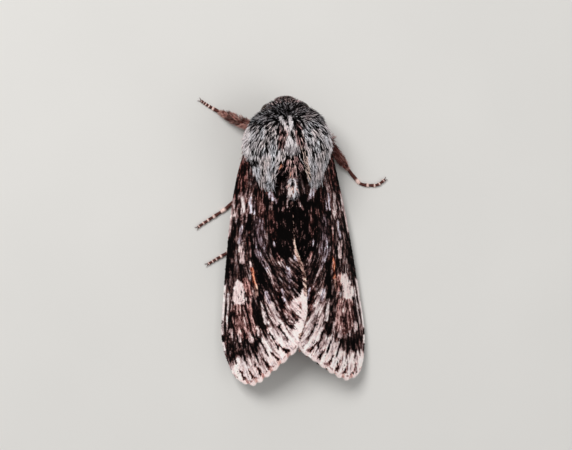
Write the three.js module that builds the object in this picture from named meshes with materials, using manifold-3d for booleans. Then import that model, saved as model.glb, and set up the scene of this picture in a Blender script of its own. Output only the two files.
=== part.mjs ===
// Life-size museum model of a Rannoch Sprawler moth (Brachionycha nubeculosa) at rest on its feet, with its
// wings folded like a roof over the body. Millimetres, +Z up, +Y to the head, +X to the moth's right.
// The solids reach out to the tips of the coat. While they are made, X = 0 is the midline, Y = 0 lies about
// halfway along the folded wings and Z = 0 is the floor. The finished group is then shifted in X and Y, so
// that its origin is the bottom centre of its box.
import * as THREE from "three";
import { mergeVertices } from "three/addons/utils/BufferGeometryUtils.js";
import Module from "manifold-3d";

const wasm = await Module();
wasm.setup();

// ---- Driving dimensions ----

const GAP = 0.25; // between pieces that meet
const SIDES = { left: -1, right: 1 };

const ROOF = {
  ridge: 6.7, // height of the ridge at Y = 0
  ridgeFall: 0.1, // fall of the ridge for each millimetre towards the tail
  hem: 0.55, // lowest height of the costal edge
  hemRise: 0.55, // what the edge stands above that at Y = 0
  hemLength: 9, // run over which that rise grows e-fold towards the head
  shoulderLift: 1.35, // further lift of the edge at the wing root
  shoulder: [5, 9.3], // where along Y that lift sets in and is complete
  arch: 1.5, // exponent of the fall from ridge to edge
  ridgeFlat: 0.8, // distance from the ridge over which depths turn from upright to square to the roof
};

const FOREWING = {
  root: 9.2,
  thickness: 0.5,
  rootWidth: 4.3, // from the midline to the costa at the root
  spread: 3.4, // what the costa gains on that by the widest place
  run: 19.9, // length over which it gains it
  flare: 0.6, // exponent of that gain
  apexStart: -8.5, // where the costa begins to round in to the apex
  apexRun: 6.3,
  apexRound: 1.9, // exponent of that rounding
  apexInset: { left: 2.25, right: 1.6 }, // what it takes off the wing's width in the end
  tornus: -11, // Y of the outer margin at the inner corner
  termenSweep: 3.7, // how much farther back the outer margin reaches
  termenCurve: 1.45, // exponent of that sweep
  termenLow: 0.82, // share of the wing's width at which it reaches farthest
  apexRise: 0.2, // how much the margin comes forward again by the apex
  scallops: 7,
  scallopDepth: 0.3,
  overlap: 1.1, // how far the left wing's inner margin laps over the right wing
  lapStart: [-0.3, 4], // distances behind Y = 0 over which the lap grows
  lapEnd: [6.8, 11], // and over which it goes again
  opening: 4.6, // Y from which the inner margins part towards the root
  openingSlope: 0.61,
};

const HINDWING = {
  root: 6.6,
  end: -9.4,
  endCurve: 2.2, // how round its outer margin is
  endLow: 0.45, // share of its width at which that margin reaches farthest
  inner: 0.5,
  rootInset: 0.9, // how much farther out its inner margin starts
  rootOuter: 2.6,
  outer: 5,
  spreadRun: 12, // length over which it spreads to its full width
  thickness: 0.5,
};

const COAT = {
  middle: 9.5, // Y of the widest and highest place of the thorax
  halfWidth: 4.85,
  crown: 8.8,
  waist: 4, // height at which the coat is widest
  front: 4.6, // reach of the hood of fur before the middle
  frontRound: 2.2,
  back: 4.7, // run behind the middle over which it narrows to the tips of the skirts
  backNarrowing: 0.44, // share of its width that it loses there
  backRound: 1.3,
  section: 2.3,
  backFall: [0.07, 1.9], // factor and exponent of the crown's fall behind the middle
  thinnest: 0.45,
};

const SPACE = { side: 20, floor: -5, top: 20 }; // room that holds the whole moth

const TEGULA = {
  inner: 1.45, // from the midline to the inner edge
  front: 11.65,
  back: 4.7, // where the skirt of fur reaches farthest over the wing
  backAt: 0.8, // share of the skirt's width at which it does
  backCurve: 4,
  thickness: 1.2, // ahead of the wing
  reach: 0.97, // share of the coat's width
};
const THORAX = {
  front: 11.65,
  back: 6.9,
  halfWidth: 4.3,
  halfLength: 3,
  up: 3,
  belly: 1.5,
  waist: 4.2,
  plan: 2.6, // exponents that square it off in plan and in section
  section: 2.2,
};
const CREST = { centre: 5.25, height: 7.25, halfWidth: 1.15, halfLength: 1.4, up: 0.85 };
const COLLAR = { back: 11.9, hem: 2.6, hemSlope: 1.35 };
const HEAD = {
  centre: [0, 12.75, 4],
  halfWidth: 2.3,
  halfLength: 2.25,
  halfHeight: 2.2,
  back: 11.9,
  plan: 1.9,
};
const EYE = { centre: [1.7, 13.4, 3.65], radius: 0.85 };

const ABDOMEN = {
  front: 6.6,
  tip: -9.8,
  radius: 2,
  widest: 0.35, // share of its length at which it is thickest
  tipRadius: 0.45,
  frontHeight: 2.95, // of its axis
  tipHeight: 2.35,
  taper: 1.6, // the larger, the less it narrows ahead of its thickest place
  swell: 0.03, // of each tergite
  lengths: ["front", "middle", "tip"],
  tergites: 3, // in each of those lengths
};

const PALP = { radius: 0.32, taper: 0.45, route: [[0.5, 13.7, 1.7], [0.5, 14.3, 1.85], [0.4, 14.72, 2.5]] };
const ANTENNA = {
  radius: 0.26,
  tipRadius: 0.25,
  route: [
    [1.1, 13.95, 5.2],
    [2.2, 13.4, 4.95],
    [2.85, 12.9, 4.15],
    [3.25, 12.2, 3.4],
    [4, 11, 3],
    [4.4, 9.4, 2.75],
    [4.45, 7.8, 2.1],
    [4.5, 6, 1.5],
  ],
};

const LEG = {
  hip: 0.5, // radii
  knee: 0.42,
  ankle: 0.32,
  tarsus: 0.28,
  claw: 0.25,
  axisHeight: 0.19, // of a tarsus, so that its underside is a flat on the floor
  end: 0.8, // what a femur or tibia has of its thickness at its ends
  swell: 0.3, // and what it gains on that at its middle
  tarsomeres: 5,
  tarsusSwell: 0.14,
};

// Hip, knee and ankle of each leg, then the way its tarsus lies on the floor. fur is how thick its coat
// makes femur and tibia.
const LEGS = {
  foreleg_left: {
    fur: 1.2,
    joints: [[-1.3, 11.3, 2.1], [-3.6, 12.1, 1.8], [-6.5, 13.65, 0.6]],
    tarsus: [[-7.2, 14.1], [-7.8, 14.5], [-8.4, 14.95]],
  },
  foreleg_right: {
    fur: 1,
    joints: [[1.3, 11.2, 2.1], [2.6, 11.7, 1.3], [2.15, 13.1, 0.62]],
    tarsus: [[1.85, 13.75], [1.35, 14.25], [0.6, 14.5]],
  },
  midleg_left: {
    fur: 1,
    joints: [[-1.7, 9.1, 2], [-3.1, 7.2, 1.35], [-5.3, 4.5, 0.55]],
    tarsus: [[-6.1, 3.8], [-6.5, 3.5], [-8.9, 2.1], [-9.35, 1.8]],
  },
  midleg_right: {
    fur: 1.2,
    joints: [[1.7, 9.1, 2], [4.4, 10.1, 1.75], [6.6, 7.15, 0.6]],
    tarsus: [[7.3, 6.25], [8, 5.5], [9.1, 5.3], [9.8, 5.35], [10.5, 5.8]],
  },
  hindleg_left: {
    fur: 1,
    joints: [[-1.5, 7.4, 1.8], [-3.1, 3.6, 1.85], [-5.1, -0.3, 0.55]],
    tarsus: [[-5.9, -0.75], [-6.6, -1.1], [-8.5, -2.1]],
  },
  hindleg_right: {
    fur: 1,
    joints: [[1.5, 7.4, 1.8], [3.1, 3.6, 1.85], [4.6, -0.8, 0.55]],
    tarsus: [[4.85, -1.7], [5.05, -3], [5.2, -4.6]],
  },
};

const FINISH = {
  fur: { color: 0x6b6460, roughness: 0.95 },
  dark_fur: { color: 0x3a322f, roughness: 0.95 },
  forewing: { color: 0x554a46, roughness: 0.85 },
  hindwing: { color: 0xb5aca4, roughness: 0.85 },
  leg: { color: 0x6e4f43, roughness: 0.9 },
  eye: { color: 0x17120f, roughness: 0.2 },
  antenna: { color: 0x4a3b33, roughness: 0.9 },
};

// ---- Solids from three.js geometry ----

const { lerp, smoothstep } = THREE.MathUtils;
const vector = ([x, y, z]) => new THREE.Vector3(x, y, z);
const signedPower = (value, exponent) => Math.sign(value) * Math.abs(value) ** exponent;

function toSolid(geometry) {
  const vertProperties = geometry.getAttribute("position").array;
  const triVerts = new Uint32Array(geometry.index.array);
  return new wasm.Manifold(new wasm.Mesh({ numProp: 3, vertProperties, triVerts }));
}

// A solid from a closed geometry whose vertices are each moved by place. Mirroring ones are turned outward.
function shaped(geometry, place) {
  geometry.deleteAttribute("normal");
  geometry.deleteAttribute("uv");
  const made = mergeVertices(geometry, 1e-6);
  const position = made.getAttribute("position");
  const point = new THREE.Vector3();
  for (let i = 0; i < position.count; i++) {
    const { x, y, z } = place(point.fromBufferAttribute(position, i));
    position.setXYZ(i, x, y, z);
  }
  const solid = toSolid(made);
  if (solid.volume() > 0) return solid;
  made.index.array.reverse();
  return toSolid(made);
}

// A rounded body about a point: its half sizes may differ fore and aft and above and below, and its
// exponents square it off in plan and in section.
function rounded({ at, width, front, back, up, down, plan = 2, section = 2, segments = [24, 16] }) {
  return shaped(new THREE.SphereGeometry(1, ...segments), ({ x, y, z }) => {
    const ring = Math.hypot(x, z) || 1;
    const reach = Math.hypot(x, z) ** (2 / plan);
    return new THREE.Vector3(
      at[0] + width * reach * signedPower(x / ring, 2 / section),
      at[1] + (y > 0 ? front : back) * signedPower(y, 2 / plan),
      at[2] + (z > 0 ? up : down) * reach * signedPower(z / ring, 2 / section),
    );
  });
}

// A limb along a route, its section a circle whose radius is radiusAt(share of the length). grow widens and
// lengthens it. Nothing of it goes below the floor.
function limb(route, radiusAt, { sides = 8, steps = 10, grow = 0 } = {}) {
  const curve = new THREE.CatmullRomCurve3(route.map(vector));
  const up = new THREE.Vector3(0, 0, 1);
  const turn = Math.PI / sides;
  return shaped(new THREE.CylinderGeometry(1, 1, 1, sides, steps), ({ x, y, z }) => {
    const share = y + 0.5;
    const ahead = curve.getTangentAt(share);
    const across = new THREE.Vector3().crossVectors(ahead, up).normalize();
    const over = new THREE.Vector3().crossVectors(across, ahead);
    const radius = radiusAt(share) + grow;
    const point = curve
      .getPointAt(share)
      .addScaledVector(ahead, 2 * grow * y)
      .addScaledVector(across, radius * (x * Math.cos(turn) - z * Math.sin(turn)))
      .addScaledVector(over, radius * (x * Math.sin(turn) + z * Math.cos(turn)));
    point.z = Math.max(0, point.z);
    return point;
  });
}

function box(low, high) {
  const [x, y, z] = [0, 1, 2].map((axis) => high[axis] - low[axis]);
  const centre = [0, 1, 2].map((axis) => (high[axis] + low[axis]) / 2);
  return shaped(new THREE.BoxGeometry(x, y, z), (point) => point.add(vector(centre)));
}

// The slab of space between two planes across Y.
const between = (back, front) =>
  box([-SPACE.side, back, SPACE.floor], [SPACE.side, front, SPACE.top]);

// ---- The roof that the folded wings form ----

function costa(y) {
  const share = Math.max(0, (FOREWING.root + 0.2 - y) / FOREWING.run);
  return FOREWING.rootWidth + FOREWING.spread * share ** FOREWING.flare;
}

function roof(out, y) {
  const ridge = ROOF.ridge + ROOF.ridgeFall * y;
  const lift = ROOF.shoulderLift * smoothstep(y, ...ROOF.shoulder);
  const hem = ROOF.hem + ROOF.hemRise * Math.exp(y / ROOF.hemLength) + lift;
  return hem + (ridge - hem) * (1 - (Math.abs(out) / costa(y)) ** ROOF.arch);
}

// The point at a depth under the roof, measured square to it. out is the distance from the midline.
function underRoof(out, y, depth) {
  const step = 0.05;
  const flat = smoothstep(Math.abs(out), 0, ROOF.ridgeFlat);
  const slopeOut = (flat * (roof(out + step, y) - roof(out - step, y))) / (2 * step);
  const slopeAlong = (roof(out, y + step) - roof(out, y - step)) / (2 * step);
  const normal = new THREE.Vector3(-slopeOut, -slopeAlong, 1).normalize();
  return new THREE.Vector3(out, y, roof(out, y)).addScaledVector(normal, -depth);
}

// A sheet laid along the roof between two depths. plan(across, along) gives [distance out, y].
function roofSheet(side, plan, [over, under], [columns, rows]) {
  return shaped(new THREE.BoxGeometry(1, 1, 1, columns, rows, 1), ({ x, y, z }) => {
    const [out, place] = plan(x + 0.5, 0.5 - y);
    const point = underRoof(out, place, lerp(under, over, z + 0.5));
    point.x *= side;
    return point;
  });
}

// ---- Wings ----

// The left wing laps over the ridge; the right one stops a gap short of it.
function innerMargin(side, y) {
  const { overlap, lapStart, lapEnd, opening, openingSlope } = FOREWING;
  const lap = smoothstep(-y, ...lapStart) - smoothstep(-y, ...lapEnd);
  return side * overlap * lap + GAP / 2 + openingSlope * Math.max(0, y - opening);
}

function roundedCosta(side, y) {
  const { apexStart, apexRun, apexRound, apexInset } = FOREWING;
  const inset = side < 0 ? apexInset.left : apexInset.right;
  return costa(y) - inset * Math.max(0, (apexStart - y) / apexRun) ** apexRound;
}

function termen(across) {
  const { tornus, termenSweep, termenCurve, termenLow, apexRise, scallops, scallopDepth } = FOREWING;
  const sweep = 1 - Math.abs(1 - across / termenLow) ** termenCurve;
  const apex = apexRise * Math.max(0, (across - termenLow) / (1 - termenLow)) ** 2;
  const scallop = scallopDepth * (Math.abs(Math.sin(Math.PI * scallops * across)) - 0.5);
  return tornus - termenSweep * sweep + apex - scallop;
}

function forewingPlan(side) {
  return (across, along) => {
    const y = lerp(FOREWING.root, termen(across), along);
    return [lerp(innerMargin(side, y), roundedCosta(side, y), across), y];
  };
}

function forewing(side) {
  const columns = 2 * FOREWING.scallops;
  return roofSheet(side, forewingPlan(side), [0, FOREWING.thickness], [columns, 13]);
}

// The space that a forewing takes up with a gap all round, wide enough to cut right through the thorax.
function forewingClearance(side) {
  const plan = (across, along) => {
    const y = lerp(FOREWING.root + GAP, 3, along);
    return [lerp(innerMargin(side, y) - GAP, costa(y) + 1, across), y];
  };
  return roofSheet(side, plan, [-GAP, FOREWING.thickness + GAP], [9, 6]);
}

function hindwing(side) {
  const { root, end, endCurve, endLow, inner, rootInset, rootOuter, outer, spreadRun, thickness } = HINDWING;
  const plan = (across, along) => {
    const y = lerp(root, end + endCurve * (across - endLow) ** 2, along);
    const spread = Math.sin((Math.PI / 2) * Math.min(1, (root - y) / spreadRun));
    return [lerp(inner + rootInset * (1 - spread), lerp(rootOuter, outer, spread), across), y];
  };
  const depth = FOREWING.thickness + GAP;
  return roofSheet(side, plan, [depth, depth + thickness], [7, 8]);
}

// ---- Thorax with its coat ----

// The coat's width at Y as a share of its greatest.
function coatShare(y) {
  if (y < COAT.middle) {
    return 1 - COAT.backNarrowing * ((COAT.middle - y) / COAT.back) ** COAT.backRound;
  }
  const share = Math.min(1, (y - COAT.middle) / COAT.front);
  return (1 - share ** COAT.frontRound) ** (1 / COAT.frontRound);
}

const coatWidth = (y) => COAT.halfWidth * coatShare(y);

function coatCrown(y) {
  if (y > COAT.middle) return COAT.waist + (COAT.crown - COAT.waist) * coatShare(y);
  const [factor, exponent] = COAT.backFall;
  return COAT.crown - factor * (COAT.middle - y) ** exponent;
}

// Height of the coat's outer surface.
function coatTop(out, y) {
  const width = coatWidth(y);
  const base = y > COAT.middle ? COAT.waist : Math.min(COAT.waist, roof(width, y));
  const share = Math.max(0, 1 - (Math.abs(out) / width) ** COAT.section);
  return base + (coatCrown(y) - base) * share ** (1 / COAT.section);
}

// A block under the coat's surface. plan(across, along) gives [x, y] and floor(x, y) the block's underside.
function coatBlock(plan, floor, [columns, rows], rise = 0) {
  return shaped(new THREE.BoxGeometry(1, 1, 1, columns, rows, 1), (point) => {
    const [x, y] = plan(point.x + 0.5, 0.5 - point.y);
    const bottom = floor(x, y);
    const top = Math.max(coatTop(x, y), bottom + COAT.thinnest) + rise;
    return new THREE.Vector3(x, y, lerp(bottom, top, point.z + 0.5));
  });
}

// It lies on the wing behind the wing's root, and is a plate of even thickness ahead of it.
function tegulaFloor(x, y) {
  const onWing = roof(x, y) + GAP;
  const plate = Math.min(onWing, coatTop(x, y) - TEGULA.thickness);
  return lerp(onWing, plate, smoothstep(y, FOREWING.root + GAP, FOREWING.root + 1));
}

function tegulaBlock(side, grow, rise) {
  const plan = (across, along) => {
    const back = TEGULA.back + TEGULA.backCurve * (across - TEGULA.backAt) ** 2;
    const y = lerp(TEGULA.front + grow, back - grow, along);
    const outer = TEGULA.reach * coatWidth(y) + grow;
    return [side * lerp(TEGULA.inner - grow, outer, across), y];
  };
  return coatBlock(plan, (x, y) => tegulaFloor(x, y) - grow, [7, 9], rise);
}

const tegula = (side) => tegulaBlock(side, 0, 0).subtract(forewingClearance(side));

function thorax() {
  const { front, back, halfWidth, halfLength, up, belly, waist, plan, section } = THORAX;
  const trunk = rounded({
    at: [0, (front + back) / 2, waist],
    width: halfWidth,
    front: halfLength,
    back: halfLength,
    up,
    down: waist - belly,
    plan,
    section,
    segments: [16, 10],
  });
  const stripWidth = TEGULA.inner - GAP;
  const strip = coatBlock(
    (across, along) => [lerp(-stripWidth, stripWidth, across), lerp(front, back, along)],
    () => waist,
    [4, 7],
  );
  let solid = trunk.intersect(between(back, front)).add(strip);
  for (const side of Object.values(SIDES)) {
    solid = solid.subtract(tegulaBlock(side, GAP, 3)).subtract(forewingClearance(side));
  }
  for (const leg of Object.values(LEGS)) {
    solid = solid.subtract(femur(leg, GAP));
  }
  return solid;
}

function crest() {
  const { centre, height, halfWidth, halfLength, up } = CREST;
  const blank = rounded({
    at: [0, centre, height],
    width: halfWidth,
    front: halfLength,
    back: halfLength,
    up,
    down: up,
    segments: [12, 8],
  });
  return blank.subtract(forewingClearance(-1)).subtract(forewingClearance(1));
}

// ---- Head ----

function headBlank(grow) {
  const { centre, halfWidth, halfLength, halfHeight, plan } = HEAD;
  return rounded({
    at: centre,
    width: halfWidth + grow,
    front: halfLength + grow,
    back: halfLength + grow,
    up: halfHeight + grow,
    down: halfHeight + grow,
    plan,
    segments: [16, 10],
  });
}

function eye(side, grow = 0) {
  const [x, y, z] = EYE.centre;
  const radius = EYE.radius + grow;
  return shaped(new THREE.SphereGeometry(radius, 12, 9), (point) => point.add(vector([side * x, y, z])));
}

const mirrored = (route, side) => route.map(([x, y, z]) => [side * x, y, z]);

function palp(side, grow = 0) {
  const radiusAt = (share) => PALP.radius * (1 - PALP.taper * share);
  return limb(mirrored(PALP.route, side), radiusAt, { steps: 5, grow });
}

function antenna(side, grow = 0) {
  const radiusAt = (share) => lerp(ANTENNA.radius, ANTENNA.tipRadius, share);
  return limb(mirrored(ANTENNA.route, side), radiusAt, { sides: 6, steps: 16, grow });
}

function head() {
  let solid = headBlank(0).intersect(between(HEAD.back, SPACE.side));
  for (const side of Object.values(SIDES)) {
    solid = solid.subtract(eye(side, GAP)).subtract(palp(side, GAP)).subtract(antenna(side, GAP));
  }
  return solid;
}

// The hood of fur over the back of the head, open below so that the eyes look out under its hem.
function collar() {
  const { back, hem, hemSlope } = COLLAR;
  const hood = rounded({
    at: [0, COAT.middle, COAT.waist],
    width: COAT.halfWidth,
    front: COAT.front,
    back: COAT.back,
    up: COAT.crown - COAT.waist,
    down: COAT.waist,
    plan: COAT.frontRound,
    section: COAT.section,
    segments: [24, 20],
  });
  const below = shaped(new THREE.BoxGeometry(2, 2, 2), ({ x, y, z }) => {
    const height = z > 0 ? hem + hemSlope * COAT.front * y : SPACE.floor;
    return new THREE.Vector3(SPACE.side * x, back + COAT.front * y, height);
  });
  let solid = hood.intersect(between(back, SPACE.side)).subtract(below).subtract(headBlank(GAP));
  for (const side of Object.values(SIDES)) {
    solid = solid.subtract(antenna(side, GAP));
  }
  return solid;
}

// ---- Abdomen ----

// Radius of the abdomen at a share of its length, swelling a little at the middle of each tergite.
function abdomenRadius(share) {
  const { radius, widest, taper, tipRadius, swell, lengths, tergites } = ABDOMEN;
  const reach = share < widest ? taper * widest : 1 - widest;
  const body = Math.sqrt(Math.max(0, 1 - ((share - widest) / reach) ** 2));
  const ring = 1 - swell * Math.cos(2 * Math.PI * tergites * lengths.length * share);
  return Math.max(tipRadius, radius * body * ring);
}

function abdomenLength(index) {
  const { front, tip, frontHeight, tipHeight, lengths, tergites } = ABDOMEN;
  const from = index / lengths.length;
  const inset = index < lengths.length - 1 ? GAP / (front - tip) : 0;
  const to = (index + 1) / lengths.length - inset;
  const route = [from, to].map((share) => [0, lerp(front, tip, share), lerp(frontHeight, tipHeight, share)]);
  const radiusAt = (share) => abdomenRadius(lerp(from, to, share));
  return limb(route, radiusAt, { sides: 12, steps: 3 * tergites });
}

// ---- Legs ----

// What a leg piece of a radius stops short of a joint, the more the sharper the leg bends there.
function jointInset(before, joint, after, radius) {
  const bend = joint.clone().sub(before).angleTo(after.clone().sub(joint));
  return GAP / 2 + radius * Math.tan(bend / 2);
}

// A straight piece of a leg, spindle-shaped between its two ends.
function legPiece(from, to, [startInset, endInset], [thick, thin], fur, grow = 0) {
  const along = to.clone().sub(from).normalize();
  const start = from.clone().addScaledVector(along, startInset);
  const end = to.clone().addScaledVector(along, -endInset);
  const spindle = (share) =>
    fur * lerp(thick, thin, share) * (LEG.end + LEG.swell * Math.sin(Math.PI * share));
  return limb([start.toArray(), end.toArray()], spindle, { steps: 4, grow });
}

function femur({ joints, fur }, grow = 0) {
  const [hip, knee, ankle] = joints.map(vector);
  const inset = jointInset(hip, knee, ankle, fur * LEG.end * LEG.knee);
  return legPiece(hip, knee, [0, inset], [LEG.hip, LEG.knee], fur, grow);
}

function tibia({ joints, fur }) {
  const [hip, knee, ankle] = joints.map(vector);
  const inset = jointInset(hip, knee, ankle, fur * LEG.end * LEG.knee);
  return legPiece(knee, ankle, [inset, GAP / 2], [LEG.knee, LEG.ankle], fur);
}

// The tarsus leaves the ankle and lies along the floor, swelling a little at the middle of each tarsomere.
function tarsus({ joints, tarsus: lying }) {
  const [, knee, ankle] = joints.map(vector);
  const start = ankle.clone().addScaledVector(ankle.clone().sub(knee).normalize(), GAP / 2);
  const route = [start.toArray(), ...lying.map(([x, y]) => [x, y, LEG.axisHeight])];
  const segmented = (share) => {
    const pinch = 1 - Math.abs(Math.sin(Math.PI * LEG.tarsomeres * share));
    return lerp(LEG.tarsus, LEG.claw, share) * (1 - LEG.tarsusSwell * pinch);
  };
  return limb(route, segmented, { steps: 2 * LEG.tarsomeres });
}

// ---- Assembly ----

const moth = new THREE.Group();

function add(name, solid, finish) {
  const { vertProperties, triVerts } = solid.getMesh();
  const geometry = new THREE.BufferGeometry();
  geometry.setAttribute("position", new THREE.BufferAttribute(vertProperties, 3));
  geometry.setIndex(new THREE.BufferAttribute(triVerts, 1));
  geometry.computeVertexNormals();
  const material = new THREE.MeshStandardMaterial({ metalness: 0, ...FINISH[finish] });
  const mesh = new THREE.Mesh(geometry, material);
  mesh.name = name;
  moth.add(mesh);
}

add("head", head(), "dark_fur");
add("collar", collar(), "dark_fur");
add("thorax", thorax(), "fur");
add("crest", crest(), "fur");
for (const [name, side] of Object.entries(SIDES)) {
  add("eye_" + name, eye(side), "eye");
  add("palp_" + name, palp(side), "dark_fur");
  add("antenna_" + name, antenna(side), "antenna");
  add("tegula_" + name, tegula(side), "fur");
  add("forewing_" + name, forewing(side), "forewing");
  add("hindwing_" + name, hindwing(side), "hindwing");
}

for (const [index, name] of ABDOMEN.lengths.entries()) {
  add("abdomen_" + name, abdomenLength(index), "dark_fur");
}

for (const [name, leg] of Object.entries(LEGS)) {
  add(name + "_femur", femur(leg), "leg");
  add(name + "_tibia", tibia(leg), "leg");
  add(name + "_tarsus", tarsus(leg), "leg");
}

const centre = new THREE.Box3().setFromObject(moth).getCenter(new THREE.Vector3());
moth.position.set(-centre.x, -centre.y, 0);

export default moth;
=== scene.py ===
"""Looks of a life-size Rannoch Sprawler moth at rest: one skin under a coat of hair, wings covered in
scales, eyes, antennae and feet, on a pale floor under soft light, seen from above its back."""

import math
from functools import partial

import bpy
import numpy as np
from mathutils import Matrix, Vector


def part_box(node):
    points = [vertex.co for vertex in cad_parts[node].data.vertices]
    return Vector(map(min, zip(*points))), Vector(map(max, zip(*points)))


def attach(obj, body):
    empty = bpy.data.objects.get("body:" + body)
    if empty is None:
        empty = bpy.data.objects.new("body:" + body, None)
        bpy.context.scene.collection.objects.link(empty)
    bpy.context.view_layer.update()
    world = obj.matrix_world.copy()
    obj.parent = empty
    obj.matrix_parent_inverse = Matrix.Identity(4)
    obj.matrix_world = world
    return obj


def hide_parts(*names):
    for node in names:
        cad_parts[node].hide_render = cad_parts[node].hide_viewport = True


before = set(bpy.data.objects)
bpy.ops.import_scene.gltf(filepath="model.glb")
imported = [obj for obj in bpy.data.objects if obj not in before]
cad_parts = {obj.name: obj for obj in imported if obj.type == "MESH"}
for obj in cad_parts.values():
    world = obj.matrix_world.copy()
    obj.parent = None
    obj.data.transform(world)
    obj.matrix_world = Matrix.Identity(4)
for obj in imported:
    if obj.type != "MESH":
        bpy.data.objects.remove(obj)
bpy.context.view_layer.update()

bl_info = {
    "name": "Resting moth",
    "version": (1, 0, 0),
    "blender": (4, 5, 0),
    "location": "View3D > Sidebar > Moth",
    "description": "Builds the skin, coat, wings, feet and stage of a furry moth around its solids",
    "category": "Object",
}

# ---- The moth's own measure: millimetres from the midline, Y = 0 about halfway along the folded wings ----

MM = 0.001
HEAD_FRONT = 15  # Y of the head's foremost point
HEAD_LOW, HEAD_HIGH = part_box("head")
ZERO = np.array([(HEAD_LOW[0] + HEAD_HIGH[0]) / 2, HEAD_HIGH[1] - HEAD_FRONT * MM, 0])
SIDES = {"left": -1, "right": 1}


def to_frame(points):
    """Points in the moth's measure as metres in the frame."""
    return np.asarray(points, dtype=float) * MM + ZERO


def from_frame(points):
    return (np.asarray(points, dtype=float) - ZERO) / MM


# ---- Numbers that vary smoothly ----


def smooth(value, low, high):
    """0 below low, 1 above high and an even rise between them."""
    share = np.clip((value - low) / (high - low), 0, 1)
    return share * share * (3 - 2 * share)


def window(value, start, full, fading, end):
    """0 outside start and end, 1 between full and fading."""
    return smooth(value, start, full) * (1 - smooth(value, fading, end))


def mix(a, b, share):
    return a + (b - a) * share


def rows(x, y, z):
    """Vectors from their parts, each of which is a number or a row of them."""
    return np.stack(np.broadcast_arrays(x, y, z), axis=-1)


def mirrored(points, side):
    """Points or directions of the right side, turned over to the left where side is -1."""
    return np.asarray(points) * [side, 1, 1]


def unit(vectors):
    return vectors / np.maximum(np.linalg.norm(vectors, axis=-1, keepdims=True), 1e-9)


def noise(x, y, seed=0):
    """Smooth noise from 0 to 1 on a plane, one cell to a unit."""
    x_cell, y_cell = np.floor(x).astype(np.int64), np.floor(y).astype(np.int64)
    x_share, y_share = smooth(x - x_cell, 0, 1), smooth(y - y_cell, 0, 1)

    def corner(i, j):
        mixed = (i * 374761393 + j * 668265263 + seed * 982451653) & 0x7FFFFFFF
        mixed = ((mixed ^ (mixed >> 13)) * 1274126177) & 0x7FFFFFFF
        return (mixed ^ (mixed >> 16)) / 0x7FFFFFFF

    near = mix(corner(x_cell, y_cell), corner(x_cell + 1, y_cell), x_share)
    far = mix(corner(x_cell, y_cell + 1), corner(x_cell + 1, y_cell + 1), x_share)
    return mix(near, far, y_share)


STREAK_STEPS = 6
STREAK_CONTRAST = 1.15  # times the square root of the number of cells that a streak runs over


def streaks(x, y, heading, cell, reach, seed):
    """Noise from 0 to 1 drawn out along heading(x, y) by reach both ways."""
    total = noise(x / cell, y / cell, seed)
    step = reach / STREAK_STEPS
    for way in (-step, step):
        x_at, y_at = x, y
        for _ in range(STREAK_STEPS):
            x_way, y_way = heading(x_at, y_at)
            x_at, y_at = x_at + way * x_way, y_at + way * y_way
            total = total + noise(x_at / cell, y_at / cell, seed)
    mean = total / (2 * STREAK_STEPS + 1)
    gain = STREAK_CONTRAST * math.sqrt(max(1, 2 * reach / cell))
    return np.clip(0.5 + gain * (mean - 0.5), 0, 1)


def spread(texture):
    """Evens out a texture that is crowded about its middle."""
    return np.clip(0.5 + 1.25 * (texture - 0.5), 0, 1)


# ---- Colour ----


def linear(colour):
    """A display colour of 0 to 255 as scene-linear numbers."""
    colour = np.asarray(colour, dtype=float) / 255
    return np.where(colour <= 0.04045, colour / 12.92, ((colour + 0.055) / 1.055) ** 2.4)


# Display colours of scales and of hair, each for the tones listed first.
TONES = [0, 0.1, 0.3, 0.52, 0.75, 0.9, 1]
SCALE_COLOURS = [
    (5, 3, 3), (36, 22, 21), (97, 69, 66), (152, 127, 126), (207, 188, 187), (242, 227, 225), (255, 248, 244)
]
HAIR_COLOURS = [
    (5, 4, 4), (29, 24, 25), (82, 73, 75), (137, 127, 130), (196, 186, 189), (232, 223, 225), (250, 244, 245)
]

# What a tint does to the linear red, green and blue of a tone.
PLAIN = np.array((1, 1, 1))
RUST = np.array((1.55, 0.62, 0.36))
REDDISH = np.array((1.2, 0.8, 0.74))
PINK = np.array((1.03, 0.945, 0.94))
BLUE = np.array((0.9, 0.98, 1.14))
TAN = np.array((1.12, 0.92, 0.78))
BROWN = np.array((1.14, 0.88, 0.84))


def toned(tone, colours, tint):
    """Linear colours for tones from 0, black, to 1, white."""
    colours = np.array(colours, dtype=float)
    shades = [np.interp(tone, TONES, colours[:, channel]) for channel in range(3)]
    return np.clip(linear(np.stack(shades, axis=-1)) * tint, 0, 0.95)


def grained(tone, texture):
    """Tones spread by an even texture from 0 to 1 so that their mean is the tone. Only the lightest places
    have grains of pure white."""
    tone = np.clip(tone, 0.01, 0.98)
    brightest = np.minimum(1, 0.3 + 1.7 * tone)
    return brightest * texture ** (brightest / tone - 1)


EDGE = 0.1  # softness of the edges of marks
RAGGED = 0.22  # how far a mark's edge wanders


def stroke(x, y, start, end, widths):
    """1 on a straight stroke that tapers from one width to another, falling to 0 past its edges."""
    run = np.subtract(end, start)
    share = np.clip(((x - start[0]) * run[0] + (y - start[1]) * run[1]) / (run @ run), 0, 1)
    distance = np.hypot(x - start[0] - share * run[0], y - start[1] - share * run[1])
    half = mix(widths[0], widths[1], share) / 2
    ragged = RAGGED * (noise(x / 0.13, y / 0.3, 99) - 0.5)
    return 1 - smooth(distance - half + ragged, -EDGE, EDGE)


def lay(tone, tint, share, value, colour, tinting=1):
    """Lays one tone and one tint over what is there, by share."""
    return mix(tone, value, share), mix(tint, colour, tinting * share[:, None])


def lay_marks(tone, tint, marks, x, y):
    """Lays strokes of tone and tint over what is there."""
    for start, end, widths, value, colour in marks:
        tone, tint = lay(tone, tint, stroke(x, y, start, end, widths), value, colour)
    return tone, tint


# ---- The roof that the folded wings form, as in the solids ----

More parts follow.
